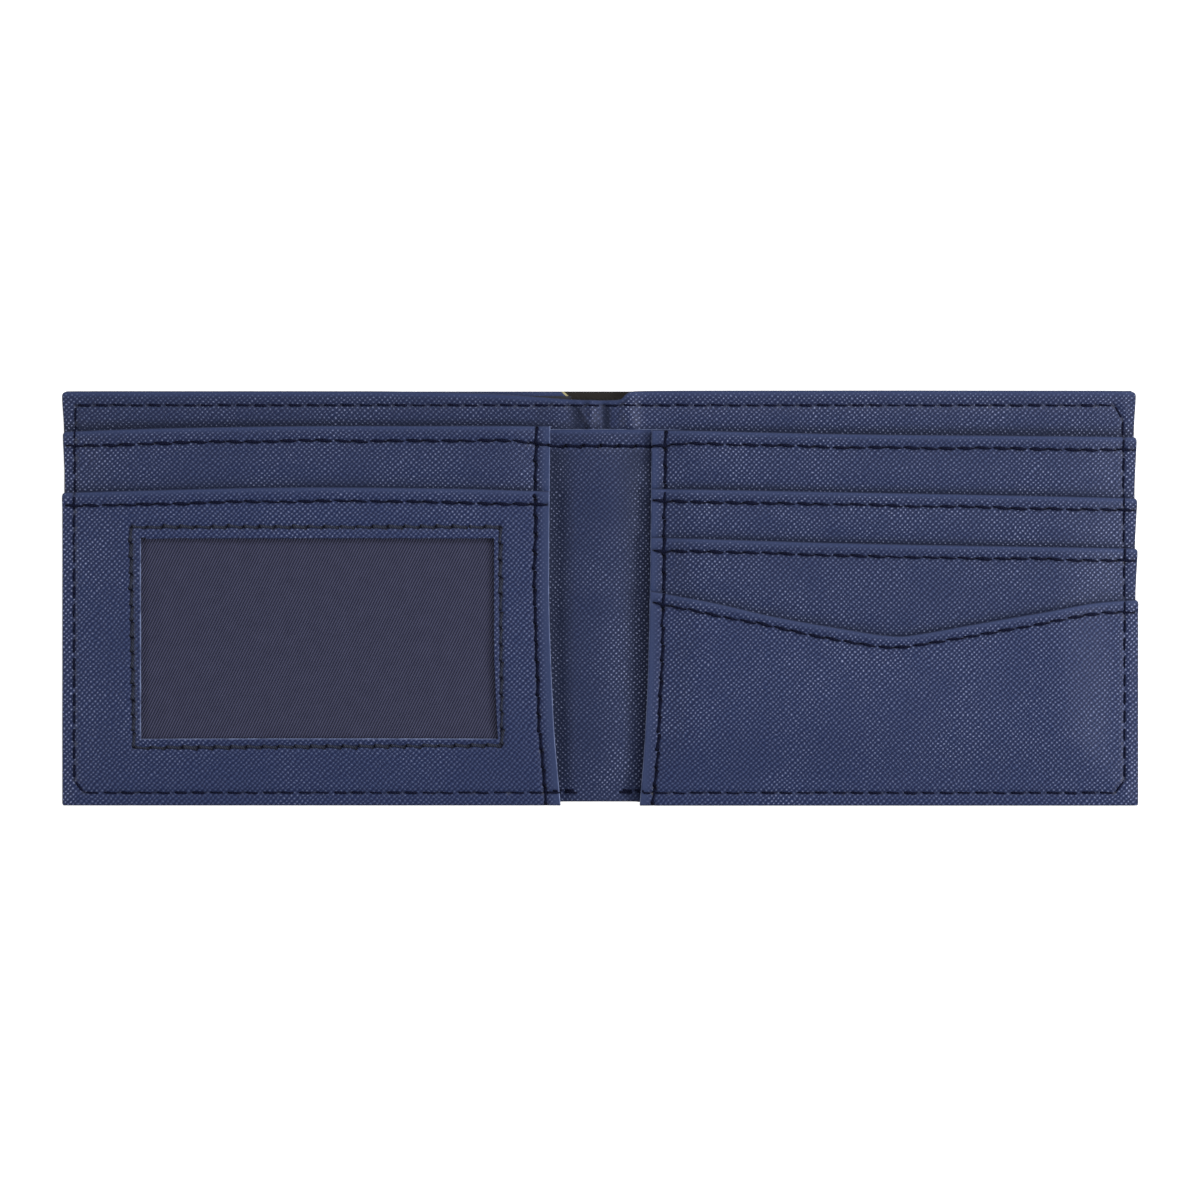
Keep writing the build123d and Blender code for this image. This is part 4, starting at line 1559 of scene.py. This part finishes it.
@dataclass
class Sewing:
    """Every seam's thread, laid on whichever sheet is uppermost under it."""

    layout: Layout
    finishes: Finishes
    perimeter: Seam
    cover: Cover
    strip: SpineStrip
    leaves: dict[Side, Leaf]
    groove: float = 0.3
    groove_drop: float = 0.12
    tack_start: float = 0.9
    tack_pitch: float = 2.6
    tack_shift: float = 0.42

    def surface(self, side: Side) -> Field:
        """Height of the uppermost sheet on one side of the wallet's middle."""
        sheets = [self.cover.facing_sheets[side], self.strip.sheets[side]] + self.leaves[side].sheets

        def height(x: Array, y: Array) -> Array:
            """Height at each place: the greatest of the sheets that cover it."""
            total = np.full(x.shape, self.layout.pivot_height)
            for sheet in sheets:
                total = np.where(sheet.covers(x, y), np.maximum(total, sheet.surface(x, y)[0]), total)
            return total

        return height

    def spans(self, seam: Seam) -> Array:
        """A seam's stitches, as (start, end) places."""
        holes = seam.holes()
        return np.stack([holes[:-1], holes[1:]], 1)

    def on_side(self, spans: Array, side: Side) -> Array:
        """The stitches whose middle lies on one side of the wallet."""
        return spans[np.sign(spans[:, :, 0].mean(1)) == side.value]

    def finish(self, piece: Piece, *nodes: str) -> None:
        """Dresses a group of stitches and hides the CAD threads that it stands for."""
        thread = self.finishes.window_thread if "window_thread" in nodes else self.finishes.thread
        declare(piece, thread)
        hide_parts(*nodes)

    def build(self) -> None:
        """Builds every group of stitches."""
        stitches = Stitches()
        tight = Stitches(
            half_width=0.29, half_height=0.17, along=(0.0, 0.05, 0.13, 0.2, 0.5, 0.8, 0.87, 0.95, 1.0),
            swell=(0.9, 1.4, 1.5, 1.05, 0.85, 1.0, 1.4, 1.3, 0.9),
            lift=(0.02, 0.12, 0.16, 0.13, 0.1, 0.13, 0.16, 0.12, 0.02), slant=0.2,
        )
        hemming = Stitches(
            half_width=0.25, half_height=0.17, along=(0.0, 0.1, 0.24, 0.38, 0.62, 0.76, 0.9, 1.0),
            swell=(0.6, 0.7, 1.0, 1.3, 1.25, 0.95, 0.7, 0.6),
            lift=(0.0, 0.09, 0.14, 0.15, 0.15, 0.14, 0.09, 0.0), slant=0.15,
        )
        under = Stitches(half_height=0.13, lift=(0.12, 0.02, -0.05, -0.06, -0.05, 0.02, 0.12))
        for side in Side:
            word, top = side.word, self.surface(side)
            around = self.on_side(self.spans(self.perimeter), side)
            above = [(around, top), (self.backtack(side), top)]
            below = [(around, level_field(self.groove - self.groove_drop))]
            strip = [(self.spans(self.strip.seams[side]), top)]
            thread = f"perimeter_thread_{word}"
            groups = (
                (f"perimeter_stitches_{word}", stitches, above, 5, (thread, "perimeter_thread_spine")),
                (f"perimeter_understitches_{word}", under, below, 6, (thread,)),
                (f"spine_strip_stitches_{word}", tight, strip, 7, ("spine_strip_hem_thread",)),
            )
            for name, style, runs, seed, nodes in groups:
                piece = style.mesh(name, runs, seed)
                self.finish(piece, *nodes)
                bend(piece)
            self.build_leaf(side, tight, hemming, top)

    def backtack(self, side: Side) -> Array:
        """Second pass of stitches at the end of the bottom seam, a thread's width above the first."""
        start = self.layout.bottom_gap_left if side is Side.LEFT else self.layout.bottom_gap_right
        y = self.layout.seam_low - self.layout.half_height + self.tack_shift
        places = start + self.tack_start + np.arange(3) * self.tack_pitch
        holes = np.stack([side.value * places, np.full(3, y)], 1)
        return np.stack([holes[:-1], holes[1:]], 1)

    def build_leaf(self, side: Side, tight: Stitches, hemming: Stitches, top: Field) -> None:
        """The hem seams, the inner edge seam and the window seam of one leaf.

        Args:
            side: The leaf's side.
            tight: Stitches of the edge and window seams.
            hemming: Stitches of the hems.
            top: Height of the uppermost sheet.
        """
        leaf = self.leaves[side]
        threads = {
            "left_slot_panel": "left_slot_hem_thread",
            "id_window_panel": "id_panel_hem_thread",
            "card_panel_1": "card_1_hem_thread",
            "card_panel_2": "card_2_hem_thread",
            "card_panel_3": "card_3_hem_thread",
            "front_panel": "front_panel_hem_thread",
        }
        groups = [
            (f"{panel.node}_hem_stitches", seam, threads[panel.node])
            for panel, seam in zip(leaf.panels, leaf.hem_seams)
        ]
        groups.append((f"inner_edge_stitches_{side.word}", leaf.inner_seam, f"inner_edge_thread_{side.word}"))
        if leaf.window_seam:
            groups.append(("window_stitches", leaf.window_seam, "window_thread"))
        for seed, (name, seam, node) in enumerate(groups, start=11):
            style = hemming if name.endswith("hem_stitches") else tight
            if seam is leaf.window_seam:
                style = replace(tight, half_width=0.33)
            piece = style.mesh(name, [(self.spans(seam), top)], seed)
            self.finish(piece, node)
            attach(piece, side.leaf)


# ---- Studio ----

@dataclass
class Studio:
    """Pale floor, soft lights and the camera straight above the wallet."""

    lens: float = 100.0
    frame_width: float = 255.0
    camera_y: float = -0.4
    look_height: float = 4.0
    floor_size: float = 6000.0
    floor_drop: float = 0.05
    glow: float = 0.75
    room_light: float = 0.22

    def build(self) -> None:
        """Makes the camera first, then the floor and the lights."""
        self.camera()
        self.floor()
        world = bpy.data.worlds.new("room")
        world.use_nodes = True
        background = world.node_tree.nodes["Background"]
        background.inputs["Color"].default_value = (1.0, 1.0, 1.0, 1.0)
        background.inputs["Strength"].default_value = self.room_light
        bpy.context.scene.world = world
        self.light("top", (260.0, 560.0, 480.0), (240.0, 560.0), 4.2)
        self.light("right", (640.0, -140.0, 380.0), (240.0, 500.0), 4.2)
        self.light("left", (-660.0, -60.0, 360.0), (240.0, 500.0), 1.8)
        bpy.context.scene.view_settings.view_transform = "Standard"
        bpy.context.scene.view_settings.look = "None"

    def camera(self) -> None:
        """Camera looking straight down, with the wallet's top edge towards the top of the picture."""
        data = bpy.data.cameras.new("camera")
        data.lens, data.sensor_width = self.lens, 36.0
        distance = self.frame_width * self.lens / data.sensor_width
        data.clip_start, data.clip_end = 0.01, 20.0
        camera = linked("camera", data)
        camera.location = (0.0, self.camera_y * MM, (distance + self.look_height) * MM)
        bpy.context.scene.camera = camera

    def floor(self) -> None:
        """Large pale floor just under the wallet."""
        half = self.floor_size * MM / 2
        corners = ((-half, -half), (half, -half), (half, half), (-half, half))
        mesh = bpy.data.meshes.new("floor")
        mesh.from_pydata([(x, y, -self.floor_drop * MM) for x, y in corners], [], [(0, 1, 2, 3)])
        floor = linked("floor", mesh)
        graph = Graph("pale_floor")
        graph.shader.inputs["Base Color"].default_value = (0.75, 0.75, 0.75, 1.0)
        graph.shader.inputs["Emission Color"].default_value = (1.0, 1.0, 1.0, 1.0)
        graph.shader.inputs["Emission Strength"].default_value = self.glow
        graph.shader.inputs["Roughness"].default_value = 0.9
        graph.shader.inputs["Specular IOR Level"].default_value = 0.1
        mesh.materials.append(graph.material)
        floor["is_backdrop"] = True

    def light(self, name: str, place: tuple[float, float, float], size: tuple[float, float],
              power: float) -> None:
        """Oblong soft light aimed at the wallet.

        Args:
            name: The light's name.
            place: Its centre, in millimetres.
            size: Its width across the aim and its height, in millimetres.
            power: Its power, in watts.
        """
        data = bpy.data.lights.new(name, "AREA")
        data.shape = "RECTANGLE"
        data.energy = power
        data.size, data.size_y = size[1] * MM, size[0] * MM
        light = linked(name, data)
        x, y, z = (value * MM for value in place)
        light.location = (x, y, z)
        light.rotation_euler = (math.atan2(math.hypot(x, y), z), 0.0, math.atan2(x, -y))


# ---- The wallet ----

def left_panels() -> list[Panel]:
    """The slot panel and the window panel in front of it."""
    return [
        Panel("left_slot_panel", through((10.5, 36.65), (55.0, 36.65), (90.0, 36.2), (114.3, 35.5)), 1,
              uneven=0.03, hem_inset=3.2, step=13.0, edge_offset=0.1, dip=0.9, gleam=0.4, seed=41),
        Panel("id_window_panel", through((10.5, 22.75), (35.0, 23.4), (60.0, 23.6), (114.3, 22.5)), 1,
              hem_inset=3.0, gleam=0.31, seed=42),
    ]


def right_panels() -> list[Panel]:
    """Three card panels in steps, and the front panel with its V-shaped mouth."""
    front = through((10.5, 1.6), (24.6, -1.05), (36.8, -3.85), (53.1, -6.75), (59.5, -7.75), (63.6, -8.05),
                    (68.0, -7.5), (78.4, -5.65), (93.7, -3.0), (107.0, -0.75), (114.3, -0.3))
    return [
        Panel("card_panel_1", through((10.5, 35.85), (59.5, 34.8), (114.3, 34.35)), 1, hem_inset=2.8,
              dip=0.8, gleam=0.46, seed=43),
        Panel("card_panel_2", through((10.5, 23.3), (59.5, 22.4), (114.3, 21.3)), 2, hem_inset=2.7, step=10.5,
              gleam=0.5, seed=44),
        Panel("card_panel_3", through((10.5, 12.95), (60.0, 11.5), (114.3, 10.6)), 3, hem_inset=2.7,
              step=10.5, seed=45),
        Panel("front_panel", front, 4, hem_inset=2.45, seed=46),
    ]


def id_window() -> Window:
    """The identity window, from the frame's film less its overlap."""
    low, high = node_low("id_window_film"), node_high("id_window_film")
    overlap = 3.6
    return Window(float(-high[0]) + overlap, float(-low[0]) - overlap, float(low[1]) + overlap,
                  float(high[1]) - overlap)


def main() -> None:
    """Builds the studio and the wallet."""
    logging.basicConfig(level=logging.INFO, format="%(name)s: %(message)s")
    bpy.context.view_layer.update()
    Studio().build()
    layout = Layout()
    finishes = Finishes()
    perimeter = Seam("perimeter", layout.perimeter(), stops=(1, 2, 3, 4, 6, 7, 8))
    cover = Cover(layout, finishes, perimeter)
    cover.build()
    strip = SpineStrip(layout, finishes)
    strip.build()
    window = id_window()
    leaves = {
        Side.LEFT: Leaf(Side.LEFT, layout, finishes, perimeter, left_panels(), window=window),
        Side.RIGHT: Leaf(Side.RIGHT, layout, finishes, perimeter, right_panels()),
    }
    for leaf in leaves.values():
        leaf.build()
    IdPocket(layout, finishes, window).build()
    Sewing(layout, finishes, perimeter, cover, strip, leaves).build()


if __name__ == "__main__":
    main()
